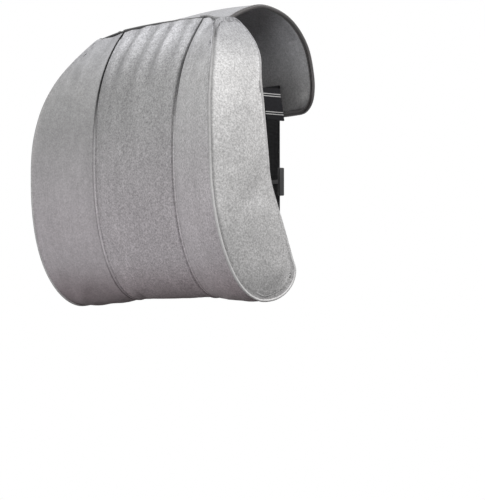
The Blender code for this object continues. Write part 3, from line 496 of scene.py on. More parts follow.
def plastic(name, colour):
    material, tree, shader = new_finish(name, 0.42, Specular_IOR_Level=0.5)
    at = place_of(tree)
    tint = ramp_of(tree, noise_of(tree, at, 60, 3), [c * 0.8 for c in colour], [c * 1.3 for c in colour])
    tree.links.new(tint, shader.inputs["Base Color"])
    worn = combine(tree, "ADD", combine(tree, "MULTIPLY", noise_of(tree, at, 180, 3), 0.2), 0.32)
    tree.links.new(worn, shader.inputs["Roughness"])
    bump(tree, shader, noise_of(tree, at, 2600, 2), 0.05 * MM, 0.5)
    return material


def plated(name, colour):
    material, tree, shader = new_finish(name, 0.3, Metallic=1.0)
    at = place_of(tree)
    tint = ramp_of(tree, noise_of(tree, at, 90, 3), [c * 0.85 for c in colour], [c * 1.1 for c in colour])
    tree.links.new(tint, shader.inputs["Base Color"])
    scratches = noise_of(tree, place_of(tree, (2500, 400, 400)), 1.0, 3)
    tree.links.new(combine(tree, "ADD", combine(tree, "MULTIPLY", scratches, 0.25), 0.2),
                   shader.inputs["Roughness"])
    bump(tree, shader, scratches, 0.02 * MM, 0.4)
    return material


def thread(name, colour):
    material, tree, shader = new_finish(name, 0.6, Sheen_Weight=0.3)
    at = place_of(tree)
    twist = noise_of(tree, at, 2400, 1)
    tint = ramp_of(tree, twist, [c * 0.75 for c in colour], [c * 1.2 for c in colour])
    tree.links.new(tint, shader.inputs["Base Color"])
    bump(tree, shader, twist, 0.06 * MM, 0.6)
    return material


def painted_seam_shade(name, low, high):
    """Painted shade for the bottom of a seam, around the thread: darker towards the top, where the groove is
    deepest.
    """
    material, tree, shader = new_finish(name, 0.9, Specular_IOR_Level=0.1)
    at = place_of(tree)
    painted_shading = ramp_of(tree, share_along(tree, at, VALLEY_LOW, VALLEY_HIGH), low, high, 0.0, 1.0)
    fibres = noise_of(tree, at, 900, 2)
    tree.links.new(mixed(tree, "MULTIPLY", painted_shading, ramp_of(tree, fibres, shade(0.75), shade(1.2))),
                   shader.inputs["Base Color"])
    bump(tree, shader, fibres, 0.1 * MM, 0.5)
    return material


def foam(name):
    material, tree, shader = new_finish(name, 0.9)
    at = place_of(tree)
    cells = tree.nodes.new("ShaderNodeTexVoronoi")
    cells.inputs["Scale"].default_value = 900
    tree.links.new(at, cells.inputs["Vector"])
    tint = ramp_of(tree, cells.outputs["Distance"], (0.62, 0.58, 0.47), (0.86, 0.82, 0.70), 0.1, 0.6)
    tree.links.new(tint, shader.inputs["Base Color"])
    bump(tree, shader, cells.outputs["Distance"], 0.3 * MM, 0.6)
    return material


finishes["plastic"] = plastic("plastic", (0.022, 0.022, 0.024))
finishes["metal"] = plated("metal", (0.33, 0.33, 0.345))
finishes["grey_thread"] = thread("grey_thread", (0.30, 0.295, 0.30))
finishes["black_thread"] = thread("black_thread", (0.016, 0.016, 0.018))
# Dark cords laid in the seams, coloured as painted shade.
finishes["deep_seam_shade"] = painted_seam_shade("deep_seam_shade", shade(0.17), shade(0.012))
finishes["soft_seam_shade"] = painted_seam_shade("soft_seam_shade", shade(0.20), shade(0.06))
finishes["foam"] = foam("foam")
print("finishes:", ", ".join(finishes))

# %% [markdown]
# A CAD solid arrives as loose triangles. Merging them and joining pairs of triangles gives back the clean
# quads it was drawn with, which subdivide and bevel well. The solid itself stays untouched, because this
# works on a copy.

# %% Helpers for meshes
MERGE = 0.01 * MM


def solid_of(node):
    """A merged copy of a CAD solid."""
    bm = bmesh.new()
    bm.from_mesh(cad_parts[node].data)
    bmesh.ops.remove_doubles(bm, verts=bm.verts[:], dist=MERGE)
    return bm


def join_quads(bm, flat=40):
    bmesh.ops.join_triangles(bm, faces=bm.faces[:], angle_face_threshold=math.radians(flat),
                             angle_shape_threshold=math.radians(70))


def add_piece(name, bm, finish, replaces=(), body="pillow"):
    """Make a bmesh an object that rides on a body and stands for CAD solids."""
    mesh = bpy.data.meshes.new(name)
    bm.to_mesh(mesh)
    bm.free()
    for stale in ("custom_normal", "sharp_face", "sharp_edge"):
        if stale in mesh.attributes:
            mesh.attributes.remove(mesh.attributes[stale])
    mesh.shade_smooth()
    mesh.materials.append(finishes[finish])
    item = bpy.data.objects.new(name, mesh)
    scene.collection.objects.link(item)
    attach(item, body)
    if replaces:
        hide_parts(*replaces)
    return item


def subdivide(item, levels):
    """A smoothing subdivision that leaves the border where it is."""
    finer = item.modifiers.new("finer", "SUBSURF")
    finer.levels = levels
    finer.render_levels = levels
    finer.boundary_smooth = "PRESERVE_CORNERS"


def apply_modifiers(item):
    graph = bpy.context.evaluated_depsgraph_get()
    baked = bpy.data.meshes.new_from_object(item.evaluated_get(graph))
    stale = item.data
    item.modifiers.clear()
    item.data = baked
    bpy.data.meshes.remove(stale)


def relax(bm, verts, rounds):
    """Even out vertices: each goes half way to the middle of its neighbours, round after round."""
    for _ in range(rounds):
        bmesh.ops.smooth_vert(bm, verts=verts, factor=0.5,
                              use_axis_x=True, use_axis_y=True, use_axis_z=True)


def bevel_corners(bm, sharp, width, segments):
    """Bevel the edges whose faces turn by more than sharp degrees."""
    bm.normal_update()
    corners = [e for e in bm.edges if e.is_manifold and e.calc_face_angle(0) > math.radians(sharp)]
    bmesh.ops.bevel(bm, geom=corners, offset=width, segments=segments, profile=0.5, affect="EDGES",
                    material=-1, clamp_overlap=True)


def edited(item):
    bm = bmesh.new()
    bm.from_mesh(item.data)
    return bm


def store(item, bm):
    bm.to_mesh(item.data)
    bm.free()
    item.data.shade_smooth()


def border_loops(bm):
    """The open borders of a sheet, each as a list of vertices in order."""
    edges = {e for e in bm.edges if e.is_boundary}
    loops = []
    while edges:
        edge = min(edges, key=lambda e: e.index)
        edges.discard(edge)
        chain = list(edge.verts)
        while True:
            ahead = [e for e in chain[-1].link_edges if e in edges]
            if not ahead:
                break
            edges.discard(ahead[0])
            chain.append(ahead[0].other_vert(chain[-1]))
        loops.append(chain[:-1] if chain[0] == chain[-1] else chain)
    return loops


# %% [markdown]
# Piping is a thin cord wrapped in the cover's own cloth and caught in the seam round each end. The CAD
# solid gives its line: it is a tube of small rings, and each ring's middle is a point on the line. A smooth
# curve through those points, with a round bevel, makes the tube. The line is needed first, because the
# panels end at it.

# %% Lines of the piping
RING_EDGE = 2.6 * MM
PIPING = 1.2 * MM
LINE_STEPS = 6


def islands(bm, longest):
    """Groups of vertices that hang together by edges shorter than longest."""
    left = set(bm.verts)
    groups = []
    while left:
        seed = min(left, key=lambda v: v.index)
        left.discard(seed)
        group, front = [seed], [seed]
        while front:
            vert = front.pop()
            for edge in vert.link_edges:
                other = edge.other_vert(vert)
                if other in left and edge.calc_length() < longest:
                    left.discard(other)
                    group.append(other)
                    front.append(other)
        groups.append(group)
    return groups


def ring_line(node, longest):
    """The middle line of a closed tube, as points in order."""
    bm = solid_of(node)
    groups = islands(bm, longest)
    owner = {v: k for k, group in enumerate(groups) for v in group}
    centres = [sum((v.co for v in group), Vector()) / len(group) for group in groups]
    beside = {k: set() for k in range(len(groups))}
    for edge in bm.edges:
        a, b = (owner[v] for v in edge.verts)
        if a != b:
            beside[a].add(b)
            beside[b].add(a)
    bm.free()
    order = [0, min(beside[0])]
    while True:
        ahead = [k for k in beside[order[-1]] if k != order[-2]]
        if not ahead or ahead[0] == 0:
            return [centres[k] for k in order]
        order.append(ahead[0])


def smooth_line(points, steps, closed):
    """More points on a smooth curve through the given ones."""
    count = len(points)
    line = []
    for i in range(count if closed else count - 1):
        if closed:
            a, b, c, d = (points[(i + k - 1) % count] for k in range(4))
        else:
            a, b, c, d = (points[min(max(i + k - 1, 0), count - 1)] for k in range(4))
        for k in range(steps):
            t = k / steps
            line.append(0.5 * ((2 * b) + (c - a) * t + (2 * a - 5 * b + 4 * c - d) * t * t
                               + (3 * b - a - 3 * c + d) * t ** 3))
    if not closed:
        line.append(points[-1].copy())
    return line


def tree_of(points):
    tree = KDTree(len(points))
    for index, place in enumerate(points):
        tree.insert(place, index)
    tree.balance()
    return tree


piping_lines = {side: smooth_line(ring_line("piping_" + side, RING_EDGE), LINE_STEPS, True)
                for side in ("left", "right")}
piping_tree = tree_of([p for line in piping_lines.values() for p in line])
print("piping points:", {side: len(line) for side, line in piping_lines.items()})

# %% [markdown]
# The cover is sewn from seven panels: three in front, one at each end and two behind. Each CAD panel is a 2
# mm sheet with an outer face, an inner face and a rim. Only the outer face shows, so the copy keeps that,
# found by its distance from the foam, and gets its thickness back at the end. Working on one open sheet is
# easier than on a closed shell, because a sheet can be smoothed, simulated and turned down at its border.

# %% Outer faces of the panels
PANELS = {
    "left_panel": {"node": "front_left_panel", "finish": "suede_left", "slot": "suede", "push": 1.0},
    "centre_panel": {"node": "front_centre_panel", "finish": "suede", "slot": "suede", "push": 1.0},
    "right_panel": {"node": "front_right_panel", "finish": "suede_right", "slot": "suede", "push": 1.0},
    "left_end": {"node": "end_panel_left", "finish": "suede_end", "slot": "suede", "push": 0.9},
    "right_end": {"node": "end_panel_right", "finish": "suede_end", "slot": "suede", "push": 0.9},
    "back_upper": {"node": "back_panel_upper", "finish": "lining", "slot": "back_cloth", "push": 0.5},
    "back_lower": {"node": "back_panel_lower", "finish": "lining", "slot": "back_cloth", "push": 0.5},
}
INNER_REACH = 0.75 * MM
BORDER_STEP = 1.0 * MM

core_mesh = solid_of("foam_core")
core = BVHTree.FromBMesh(core_mesh)


def outer_face(node):
    """The face of a cover panel that shows, as an open sheet of quads."""
    bm = solid_of(node)
    inner = [v for v in bm.verts if core.find_nearest(v.co)[3] < INNER_REACH]
    bmesh.ops.delete(bm, geom=inner, context="VERTS")
    join_quads(bm)
    if node.startswith("back"):
        hold_border(bm)
    return bm


def hold_border(bm):
    """Keep a coarse border straight from point to point when its sheet is subdivided."""
    crease = bm.verts.layers.float.new("crease_vert")
    for vert in bm.verts:
        if vert.is_boundary:
            vert[crease] = 1.0


def border_tree(node):
    """Closely spaced points along a panel's border."""
    bm = outer_face(node)
    points = []
    for edge in bm.edges:
        if edge.is_boundary:
            a, b = (v.co.copy() for v in edge.verts)
            count = max(1, round((b - a).length / BORDER_STEP))
            points += [a.lerp(b, k / count) for k in range(count)]
    bm.free()
    return tree_of(points)


borders = {facts["node"]: border_tree(facts["node"]) for facts in PANELS.values()}
print("border points:", sum(len(tree.find_n((0, 0, 0), 100000)) for tree in borders.values()))

# %% [markdown]
# The centre panel is cut wider than the seam that it is sewn into, and the extra cloth is gathered along
# the top. So folds start there, run down the front and fade out. A cloth simulation would find folds of its
# own, in other places than the photograph shows. So each one is listed, as a place along X and a
# height, with a soft round section. The panels beside it only have two faint folds each.

# %% Folds below the top seam
FOLD_WAY = Vector((0, -0.93, 0.37))
FOLD_WIDTH = 0.0056
FOLD_REACH = 0.070
FOLDS = {
    "front_left_panel": ((-0.083, 0.0010), (-0.072, -0.0008)),
    "front_centre_panel": ((-0.047, 0.0008), (-0.036, -0.0016), (-0.022, 0.0018), (-0.008, -0.0010),
                           (0.002, 0.0012), (0.015, -0.0018), (0.027, 0.0018), (0.040, -0.0010),
                           (0.050, 0.0006)),
    "front_right_panel": ((0.071, 0.0014), (0.082, -0.0008)),
}
FOLD_TURN = 0.10
FOLD_GROWTH = 1.5
FOLD_FADE = 0.8
FOLD_ONSET = 20
# How much painted light a fold's crest gets and how much painted shade its valley gets, for each millimetre
# of rise.
FOLD_PAINTED_SHADING = 0.095
FOLD_DEEPEST = 1.0 * MM


def raise_folds(item, folds):
    """Raise soft folds that start at the top seam, spread a little and fade out below it, and paint their
    crests lighter and their valleys darker.
    """
    top = max(v.co.z for v in item.data.vertices)
    light_and_shade = item.data.attributes.new("painted_shading", "FLOAT", "POINT")
    for vert in item.data.vertices:
        down = (top - vert.co.z) / FOLD_REACH
        if down >= 1:
            continue
        fade = (1 - down) ** FOLD_FADE
        spread = 1 + FOLD_TURN * down
        rise = sum(size * math.exp(-((vert.co.x - at * spread) / FOLD_WIDTH) ** 2) for at, size in folds)
        rise *= FOLD_GROWTH * fade * min(1.0, FOLD_ONSET * down)
        vert.co += FOLD_WAY * max(rise, -FOLD_DEEPEST)
        light_and_shade.data[vert.index].value = FOLD_PAINTED_SHADING * rise / MM


print("folds:", {node: len(folds) for node, folds in FOLDS.items()})

# %% [markdown]
# Real panels aren't perfectly even: the cloth is stretched over the foam and held along its seams.
# Sculpting that by hand is slow and seldom looks right. So each panel is simulated as cloth for a moment,
# sewn down at its border, with the foam's pressure behind it. How far a point may go is capped, because the
# pillow's outline has to stay as it is, and points close to a seam hardly move.

# %% Settling as cloth
SETTLE_CAP = 1.4 * MM
SETTLE_EDGE = 16 * MM
SETTLE_EASE = 1.5
SETTLE_FRAMES = 16
SETTLE_PRESSURE = 2.0


def settle(item, pressure, cap, edge):
    """Let a sheet find its shape as cloth, held at its border and pushed from behind."""
    bm = edited(item)
    held = [v.index for v in bm.verts if v.is_boundary]
    bm.free()
    group = item.vertex_groups.new(name="sewn")
    group.add(held, 1.0, "REPLACE")
    cloth = item.modifiers.new("cloth", "CLOTH")
    facts = cloth.settings
    facts.quality = 4
    facts.mass = 0.25
    facts.tension_stiffness = 20
    facts.compression_stiffness = 20
    facts.shear_stiffness = 10
    facts.bending_stiffness = 1.0
    facts.shrink_min = -0.012
    facts.use_pressure = True
    facts.uniform_pressure_force = pressure
    facts.vertex_group_mass = "sewn"
    facts.effector_weights.gravity = 0
    cloth.collision_settings.use_collision = False
    start = [v.co.copy() for v in item.data.vertices]
    for number in range(1, SETTLE_FRAMES + 1):
        scene.frame_set(number)
    graph = bpy.context.evaluated_depsgraph_get()
    ends = [v.co.copy() for v in item.evaluated_get(graph).data.vertices]
    item.modifiers.remove(cloth)
    item.vertex_groups.clear()
    scene.frame_set(1)
    furthest = 0.0
    for vert, before, after in zip(item.data.vertices, start, ends):
        move = after - before
        furthest = max(furthest, move.length)
        if move.length > cap:
            move *= cap / move.length
        vert.co = before + move * min(1.0, edge.find(before)[2] / SETTLE_EDGE) ** SETTLE_EASE
    print(item.name, "settled, furthest move", round(furthest / MM, 2), "mm")


# %% [markdown]
# Where two panels meet, the cloth turns down into the seam. A front seam looks different along its run: at
# the top the thread pulls the cloth into a deep groove, lower down the seam stands up as a low ridge between
# two fine lines, and where the front rolls under it is a plain line. A bump in the finish could draw such
# lines, but it wouldn't notch the outline. So four narrow rings are cut along each border and lowered for
# real. A look lists for the border and the rings, from the border inward, how far they are lowered in
# millimetres and how much painted shade or painted highlight they get: the groove, the fine lines and the
# plain line below are painted dark, the ridge is painted light. Its hem is how far below the surface the
# border ends.

# %% Looks of the seams
RINGS = (1.2 * MM, 0.6 * MM, 0.6 * MM, 0.7 * MM)
# Plain seams get a little painted shade, the top seam a dark line of it.
PLAIN = {"depths": (1.20, 0.60, 0.22, 0.05), "light_and_shade": (-0.15, -0.08, 0.0, 0.0), "hem": (2.4,)}
TOP = {"depths": (0.90, 0.60, 0.30, 0.08), "light_and_shade": (-0.96, -0.93, -0.40, 0.0), "hem": (2.1,)}
FRONT_SEAMS = {
    "left": {
        "high": {"depths": (1.40, 0.85, 0.40, 0.10), "light_and_shade": (-0.97, -0.96, -0.88, -0.10), "hem": (2.6,)},
        "low": {"depths": (-0.35, -0.25, 0.45, 0.25), "light_and_shade": (0.20, 0.18, -0.50, -0.15), "hem": (-0.35,)},
        "under": {"depths": (0.10, 0.15, 0.45, 0.20), "light_and_shade": (-0.10, -0.20, -0.80, -0.25), "hem": (0.2,)},
    },
    "right": {
        "high": {"depths": (1.20, 0.80, 0.40, 0.10), "light_and_shade": (-0.66, -0.64, -0.58, 0.0), "hem": (2.6,)},
        "low": {"depths": (-0.25, -0.15, 0.40, 0.20), "light_and_shade": (0.12, 0.10, -0.42, -0.12), "hem": (-0.25,)},
        "under": {"depths": (-0.20, -0.10, 0.45, 0.25), "light_and_shade": (0.16, 0.12, -0.55, -0.20), "hem": (-0.2,)},
    },
}
# Heights between which a front seam goes from low to high, and from low to under.
PULLED_FROM, PULLED_TO = -0.005, 0.060
UNDER_FROM, UNDER_TO = -0.095, -0.128
# The centre panel gets a little painted highlight just beside the pulled part of the right seam.
BESIDE_RIGHT_HIGHLIGHT = 0.22
# The top seam's painted shade is dark on the left and faint on the right, but dark again at one gathered
# corner.
TOP_FADE_FROM, TOP_FADE_TO, TOP_LEAST = -0.016, 0.036, 0.20
CORNER_X, CORNER_FROM, CORNER_TO, CORNER_PAINTED_SHADE = 0.063, 0.005, 0.011, 0.9
FRONT_PANELS = {"front_left_panel", "front_centre_panel", "front_right_panel"}


def share_between(value, start, end):
    """0 at start, 1 at end, smooth between."""
    share = min(1.0, max(0.0, (value - start) / (end - start)))
    return share * share * (3 - 2 * share)


def blend(first, second, share):
    return {key: [a + (b - a) * share for a, b in zip(first[key], second[key])] for key in first}


def seam_look(pair, node, place):
    """The look of the seam between a pair of panels, at this place."""
    pulled = share_between(place.z, PULLED_FROM, PULLED_TO)
    if pair < FRONT_PANELS:
        looks = FRONT_SEAMS["left" if "front_left_panel" in pair else "right"]
        look = blend(looks["low"], looks["high"], pulled)
        look = blend(look, looks["under"], share_between(place.z, UNDER_FROM, UNDER_TO))
        if node == "front_centre_panel" and "front_right_panel" in pair:
            look["light_and_shade"][3] += BESIDE_RIGHT_HIGHLIGHT * pulled
        return look
    if "back_panel_upper" in pair and place.z > PULLED_TO:
        strength = 1 - (1 - TOP_LEAST) * share_between(place.x, TOP_FADE_FROM, TOP_FADE_TO)
        corner = 1 - share_between(abs(place.x - CORNER_X), CORNER_FROM, CORNER_TO)
        strength = max(strength, CORNER_PAINTED_SHADE * corner)
        return {**TOP, "light_and_shade": [t * strength for t in TOP["light_and_shade"]]}
    return PLAIN


print("rings cut along a border:", len(RINGS), "over", round(sum(RINGS) / MM, 1), "mm")

# %% [markdown]
# Beside the piping the cloth turns down as well, but not the same all round. The right front panel has a
# groove along most of its height, and near the top it lies flush over the cord. The end panel has a shallow
# groove in front and at its lower end, and behind it runs smoothly over the cord. The back's groove is
# deepest at the upper corner. Each groove is a smooth share of the place, so that no step shows where one
# kind goes over into the next.

# %% Grooves beside the piping
PIPED_REACH = 4.0 * MM
PIPED_ROLL = 0.55
PIPED_DEPTH = 0.2 * MM
PIPED_FLUSH = {"front_right_panel": 0.55 * MM, "other": 1.42 * MM}
# Painted shade in the groove beside the piping, and painted light on the right front panel where it lies
# flush over the cord.
PIPED_PAINTED_SHADE = {"end": (-0.80, -0.35, -0.05, 0.0), "front": (-0.62, -0.50, -0.15, 0.0)}
UNPIPED_PAINTED_LIGHT = (0.45, 0.40, 0.30, 0.15)
END_GROOVE, BACK_GROOVE = 0.5, 0.4
# Where each groove begins and ends, in height and from front to back.
FRONT_SIDE, SIDE_FADE = -0.030, 0.012
BARE_BELOW, COVERED_ABOVE = -0.118, -0.095
CROSSING_LOW, CROSSING_HIGH = 0.045, 0.080
BACK_TIP_Z, BACK_TIP_Y = (0.095, 0.102), (-0.018, -0.010)
# The end's line of painted shade grows stronger near the top and fainter at its lower end.
LINE_LOW, LINE_HIGH = 0.080, 0.090
BARE_PAINTED_SHADE = 0.5


def piped_groove(node, place):
    """How deep the groove between a panel and the piping is at this place, from 0 to 1."""
    if node.startswith("end"):
        front = 1 - share_between(place.y, FRONT_SIDE, FRONT_SIDE + SIDE_FADE)
        return END_GROOVE * max(front, 1 - share_between(place.z, BARE_BELOW, COVERED_ABOVE))
    if node.startswith("back"):
        tip = share_between(place.z, *BACK_TIP_Z) * (1 - share_between(place.y, *BACK_TIP_Y))
        return BACK_GROOVE + (1 - BACK_GROOVE) * tip
    if node == "front_right_panel":
        return 1 - share_between(place.z, CROSSING_LOW, CROSSING_HIGH)
    return 0.0


def piped_look(node, place, groove):
    """How a panel's rings beside the piping are lowered, and how much painted shade they get, or painted
    light where the right front panel lies flush.
    """
    dark = groove
    if node.startswith("end"):
        dark *= 1 + share_between(place.z, LINE_LOW, LINE_HIGH)
        dark *= BARE_PAINTED_SHADE + (1 - BARE_PAINTED_SHADE) * share_between(place.z, BARE_BELOW, COVERED_ABOVE)
    light_and_shade = [t * dark for t in PIPED_PAINTED_SHADE["end" if node.startswith("end") else "front"]]
    if node == "front_right_panel":
        light_and_shade = [t + u * (1 - groove) for t, u in zip(light_and_shade, UNPIPED_PAINTED_LIGHT)]
    return {"depths": [d * PIPED_ROLL * groove for d in PLAIN["depths"]], "light_and_shade": light_and_shade}


example = Vector((0.13, -0.06, 0.0))
print("groove of the end in front:", piped_groove("end_panel_right", example))

# %% [markdown]
# After the rings, the border is extruded once more, to the line of the seam itself: half way to the next
# panel, or the middle of the piping. Both panels end on that same line, so no gap stays open between them.
# Joining the panels into one mesh would close the gap too, but each is a piece of cloth of its own here, as
# it is on the pillow.

# %% Turning the edges down
MEETING = 1.5 * MM
LONE_HEM, LONE_DEPTH = 0.5, 0.6
TIGHT_X, TIGHT_Z, TIGHT_ROUNDS = 0.084, 0.094, 3


def edge_look(node, place, outward):
    """Where a panel's edge ends in its seam, and how its rings are lowered and toned before that."""
    piped = piping_tree.find(place)
    if piped[2] < PIPED_REACH:
        groove = piped_groove(node, place)
        flush = PIPED_FLUSH.get(node, PIPED_FLUSH["other"])
        end = piped[0] + outward * (flush * (1 - groove) - PIPED_DEPTH * groove)
        return end, piped_look(node, place, groove)
    hits = [(tree.find(place), other) for other, tree in borders.items() if other != node]
    (nearest, _, gap), other = min(hits, key=lambda hit: hit[0][2])
    if gap < MEETING:
        look = seam_look({node, other}, node, place)
        return (place + nearest) / 2 - outward * (look["hem"][0] * MM), look
    lone = {**PLAIN, "depths": [LONE_DEPTH * d for d in PLAIN["depths"]]}
    return place - outward * (LONE_HEM * PLAIN["hem"][0] * MM), lone


def rings_from(border, count):
    """How many edges each vertex near the border is from it, and which border vertex it belongs to."""
    levels = {v: (0, v) for v in border}
    front = list(border)
    for level in range(1, count):
        ahead = []
        for vert in front:
            for edge in vert.link_edges:
                other = edge.other_vert(vert)
                if other not in levels:
                    levels[other] = (level, levels[vert][1])
                    ahead.append(other)
        front = ahead
    return levels


def turn_edges_down(item, node):
    bm = edited(item)
    inner = bm.faces[:]
    for width in RINGS:
        bmesh.ops.inset_region(bm, faces=inner, use_boundary=True, use_even_offset=False, thickness=width)
    bm.normal_update()
    painted_shading = bm.verts.layers.float["painted_shading"]
    border = [v for v in bm.verts if v.is_boundary]
    looks = {v: edge_look(node, v.co.copy(), v.normal.copy()) for v in border}
    rings = rings_from(border, len(RINGS))
    for vert, (level, owner) in rings.items():
        look = looks[owner][1]
        vert.co -= vert.normal * (look["depths"][level] * MM)
        vert[painted_shading] += look["light_and_shade"][level]
    if not node.startswith("front"):
        inside = [v for v, (level, _) in rings.items() if level]
        relax(bm, [v for v in inside if abs(v.co.x) > TIGHT_X and v.co.z > TIGHT_Z], TIGHT_ROUNDS)
    hems = {}
    grown = bmesh.ops.extrude_edge_only(bm, edges=[e for e in bm.edges if e.is_boundary])
    for vert in [v for v in grown["geom"] if isinstance(v, bmesh.types.BMVert)]:
        owner = next(e.other_vert(vert) for e in vert.link_edges if e.other_vert(vert) in looks)
        hems[vert] = looks[owner][0]
    for vert, place in hems.items():
        vert.co = place
    store(item, bm)


# %% [markdown]
# Now each panel goes through the same steps: outer face, folds, settling, edges, a last smoothing and its
# thickness. The order matters. The folds come first, so that the cloth settles round them, and the edges
# come after the settling, because it could pull such narrow rings out of shape.

# %% Panels
CLOTH = 1.0 * MM


def thicken(item, depth):
    wall = item.modifiers.new("cloth thickness", "SOLIDIFY")
    wall.thickness = depth
    wall.offset = -1


def add_panel(name, node, finish, slot, push):
    item = add_piece(name, outer_face(node), finish, [node])
    subdivide(item, 1)
    apply_modifiers(item)
    raise_folds(item, FOLDS.get(node, ()))
    settle(item, SETTLE_PRESSURE * push, SETTLE_CAP, borders[node])
    turn_edges_down(item, node)
    subdivide(item, 1)
    thicken(item, CLOTH)
    return item


panels = {name: add_panel(name, **facts) for name, facts in PANELS.items()}
print("panel faces:", {name: len(item.data.polygons) for name, item in panels.items()})

# %% [markdown]
# The piping itself is the same suede, wrapped tightly round a cord. Its colour is painted light and shade:
# lighter low down, where the light catches it, and darker at the top. A curve with a round bevel stays
# smooth with few points, and each point can have a thickness of its own. That is used where the piping is
# pulled thin, on its way up to the top seam.

# %% Piping
PULLED_THIN, THIN_FADE = 0.35, 0.030


def add_cord(name, line, radius, finish, replaces=(), closed=False, slimmer=None):
    """A cord along a line; slimmer tells how thick it is at a place, as a share of its radius."""
    curve = bpy.data.curves.new(name, "CURVE")
    curve.dimensions = "3D"
    curve.bevel_depth = radius
    curve.bevel_resolution = 3
    curve.use_fill_caps = True
    spline = curve.splines.new("POLY")
    spline.points.add(len(line) - 1)
    for target, place in zip(spline.points, line):
        target.co = (*place, 1)
        target.radius = slimmer(place) if slimmer else 1.0
    spline.use_cyclic_u = closed
    curve.materials.append(finishes[finish])
    item = bpy.data.objects.new(name, curve)
    scene.collection.objects.link(item)
    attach(item, "pillow")
    if replaces:
        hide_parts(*replaces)


def pulled_thin(place):
    """How thick the piping is here, as a share: it is pulled thin in front, near the top seam."""
    ahead = 1 - share_between(place.y, FRONT_SIDE, FRONT_SIDE + THIN_FADE)
    return 1 - PULLED_THIN * share_between(place.z, CROSSING_LOW, CROSSING_HIGH) * ahead


for side, line in piping_lines.items():
    add_cord(side + "_piping", line, PIPING, "suede_edge", ["piping_" + side], True, pulled_thin)
    print(side, "piping, thinnest share:", round(min(pulled_thin(p) for p in line), 2))

# %% [markdown]
# Deep in the seams lies a dark cord that stands for the sewing thread and the shade at the bottom of the
# groove: its colour is painted shade, darker towards the top, and along the top seam it is black. It shows
# where the cloth is pulled hardest: at the top of the front seams and along the top seam. Lower down it
# sinks out of sight below the ridge of the seam. A cord along the seam, whose depth below the surface
# changes on its way, does this without any masks.

# %% Painted shade in the seams
SEAMS = {
    "left": {"finish": "deep_seam_shade", "radius": 1.15 * MM, "sunk": (0.95 * MM, 2.3 * MM)},
    "right": {"finish": "soft_seam_shade", "radius": 1.05 * MM, "sunk": (1.05 * MM, 2.3 * MM)},
}
SEAM_SINKS = 120 * MM
TOP_SEAMS = {
    "left": {"radius": 1.15 * MM, "sunk": (0.6 * MM, 0.05 * MM)},
    "centre": {"radius": 1.30 * MM, "sunk": (0.10 * MM, 2.0 * MM)},
    "right": {"radius": 0.7 * MM, "sunk": (0.6 * MM, 1.2 * MM)},
}
TOP_SINKS = 75 * MM


def meeting_line(first, second):
    """Where the borders of two neighbouring panels meet: points, each with the way out of the pillow."""
    bm = outer_face(first)
    bm.normal_update()
    tree = borders[second]
    line = []
    for loop in border_loops(bm):
        near = [tree.find(v.co)[2] < MEETING for v in loop]
        if not any(near):
            continue
        first_one = next(k for k in range(len(loop)) if near[k] and not near[k - 1])
        for k in range(len(loop)):
            vert = loop[(first_one + k) % len(loop)]
            if not near[(first_one + k) % len(loop)]:
                break
            line.append(((vert.co + tree.find(vert.co)[0]) / 2, vert.normal.copy()))
    bm.free()
    return line


def laid_below(line, depths, length):
    """A smooth line below the seam: depths are those at its start, and from length on."""
    places, gone = [], 0.0
    for k, (place, outward) in enumerate(line):
        if k:
            gone += (place - line[k - 1][0]).length
        share = min(1.0, gone / length)
        places.append(place - outward * (depths[0] + (depths[1] - depths[0]) * share))
    return smooth_line(places, LINE_STEPS, False)


for side in ("left", "right"):
    line = meeting_line(f"front_{side}_panel", "front_centre_panel")
    if line[0][0].z < line[-1][0].z:
        line.reverse()
    valley_line = laid_below(line, SEAMS[side]["sunk"], SEAM_SINKS)
    add_cord(side + "_seam_shade_cord", valley_line, SEAMS[side]["radius"], SEAMS[side]["finish"])
    print(side, "seam points:", len(line))
# Along the top seam the line of painted shade is a black cord.
for panel, facts in TOP_SEAMS.items():
    line = meeting_line(f"front_{panel}_panel", "back_panel_upper")
    if line[0][0].x > line[-1][0].x:
        line.reverse()
    top_line = laid_below(line[:-1], facts["sunk"], TOP_SINKS)
    add_cord(panel + "_top_seam_shade", top_line, facts["radius"], "black_thread")
    print(panel, "top seam points:", len(line))

# %% [markdown]
# The flap is two layers of suede with a thin pad between them, bound along its free edge with a dark tape.
# Its upper face is kept from the CAD solid and thickened again after smoothing, which takes out the facets
# of the solid. The tape keeps its solid's form, with its long edges rounded.

# %% Flap and binding
LOOP_MIDDLE = Vector((0, 0.058, 0.03))
FLAP_FACING = 0.35
FLAP_WALL = 2.6 * MM
FLAP_SMOOTHED = 8


def facing_away(node, middle, least):
    """The faces of a solid that face away from a line through middle along X."""
    bm = solid_of(node)
    hidden = []
    for face in bm.faces:
        reach = face.calc_center_median() - middle
        reach.x = 0
        if face.normal.dot(reach.normalized()) < least:
            hidden.append(face)
    bmesh.ops.delete(bm, geom=hidden, context="FACES")
    join_quads(bm)
    return bm


def add_flap():
    face = facing_away("top_flap", LOOP_MIDDLE, FLAP_FACING)
    item = add_piece("flap_cloth", face, "suede_flap", ["top_flap"])
    subdivide(item, 2)
    apply_modifiers(item)
    bm = edited(item)
    relax(bm, [v for v in bm.verts if not v.is_boundary], FLAP_SMOOTHED)
    store(item, bm)
    thicken(item, FLAP_WALL)
    return item


def rounded(name, node, finish, width, segments=2, levels=1, body="pillow", sharp=35):
    """A copy of a solid with its sharp edges bevelled and its faces smoothed."""
    bm = solid_of(node)
    join_quads(bm)
    bevel_corners(bm, sharp, width, segments)
    item = add_piece(name, bm, finish, [node], body)
    if levels:
        subdivide(item, levels)
    return item


flap = add_flap()
rounded("flap_tape", "flap_binding", "binding", 1.6 * MM, 3, 1)
print("flap faces:", len(flap.data.polygons))

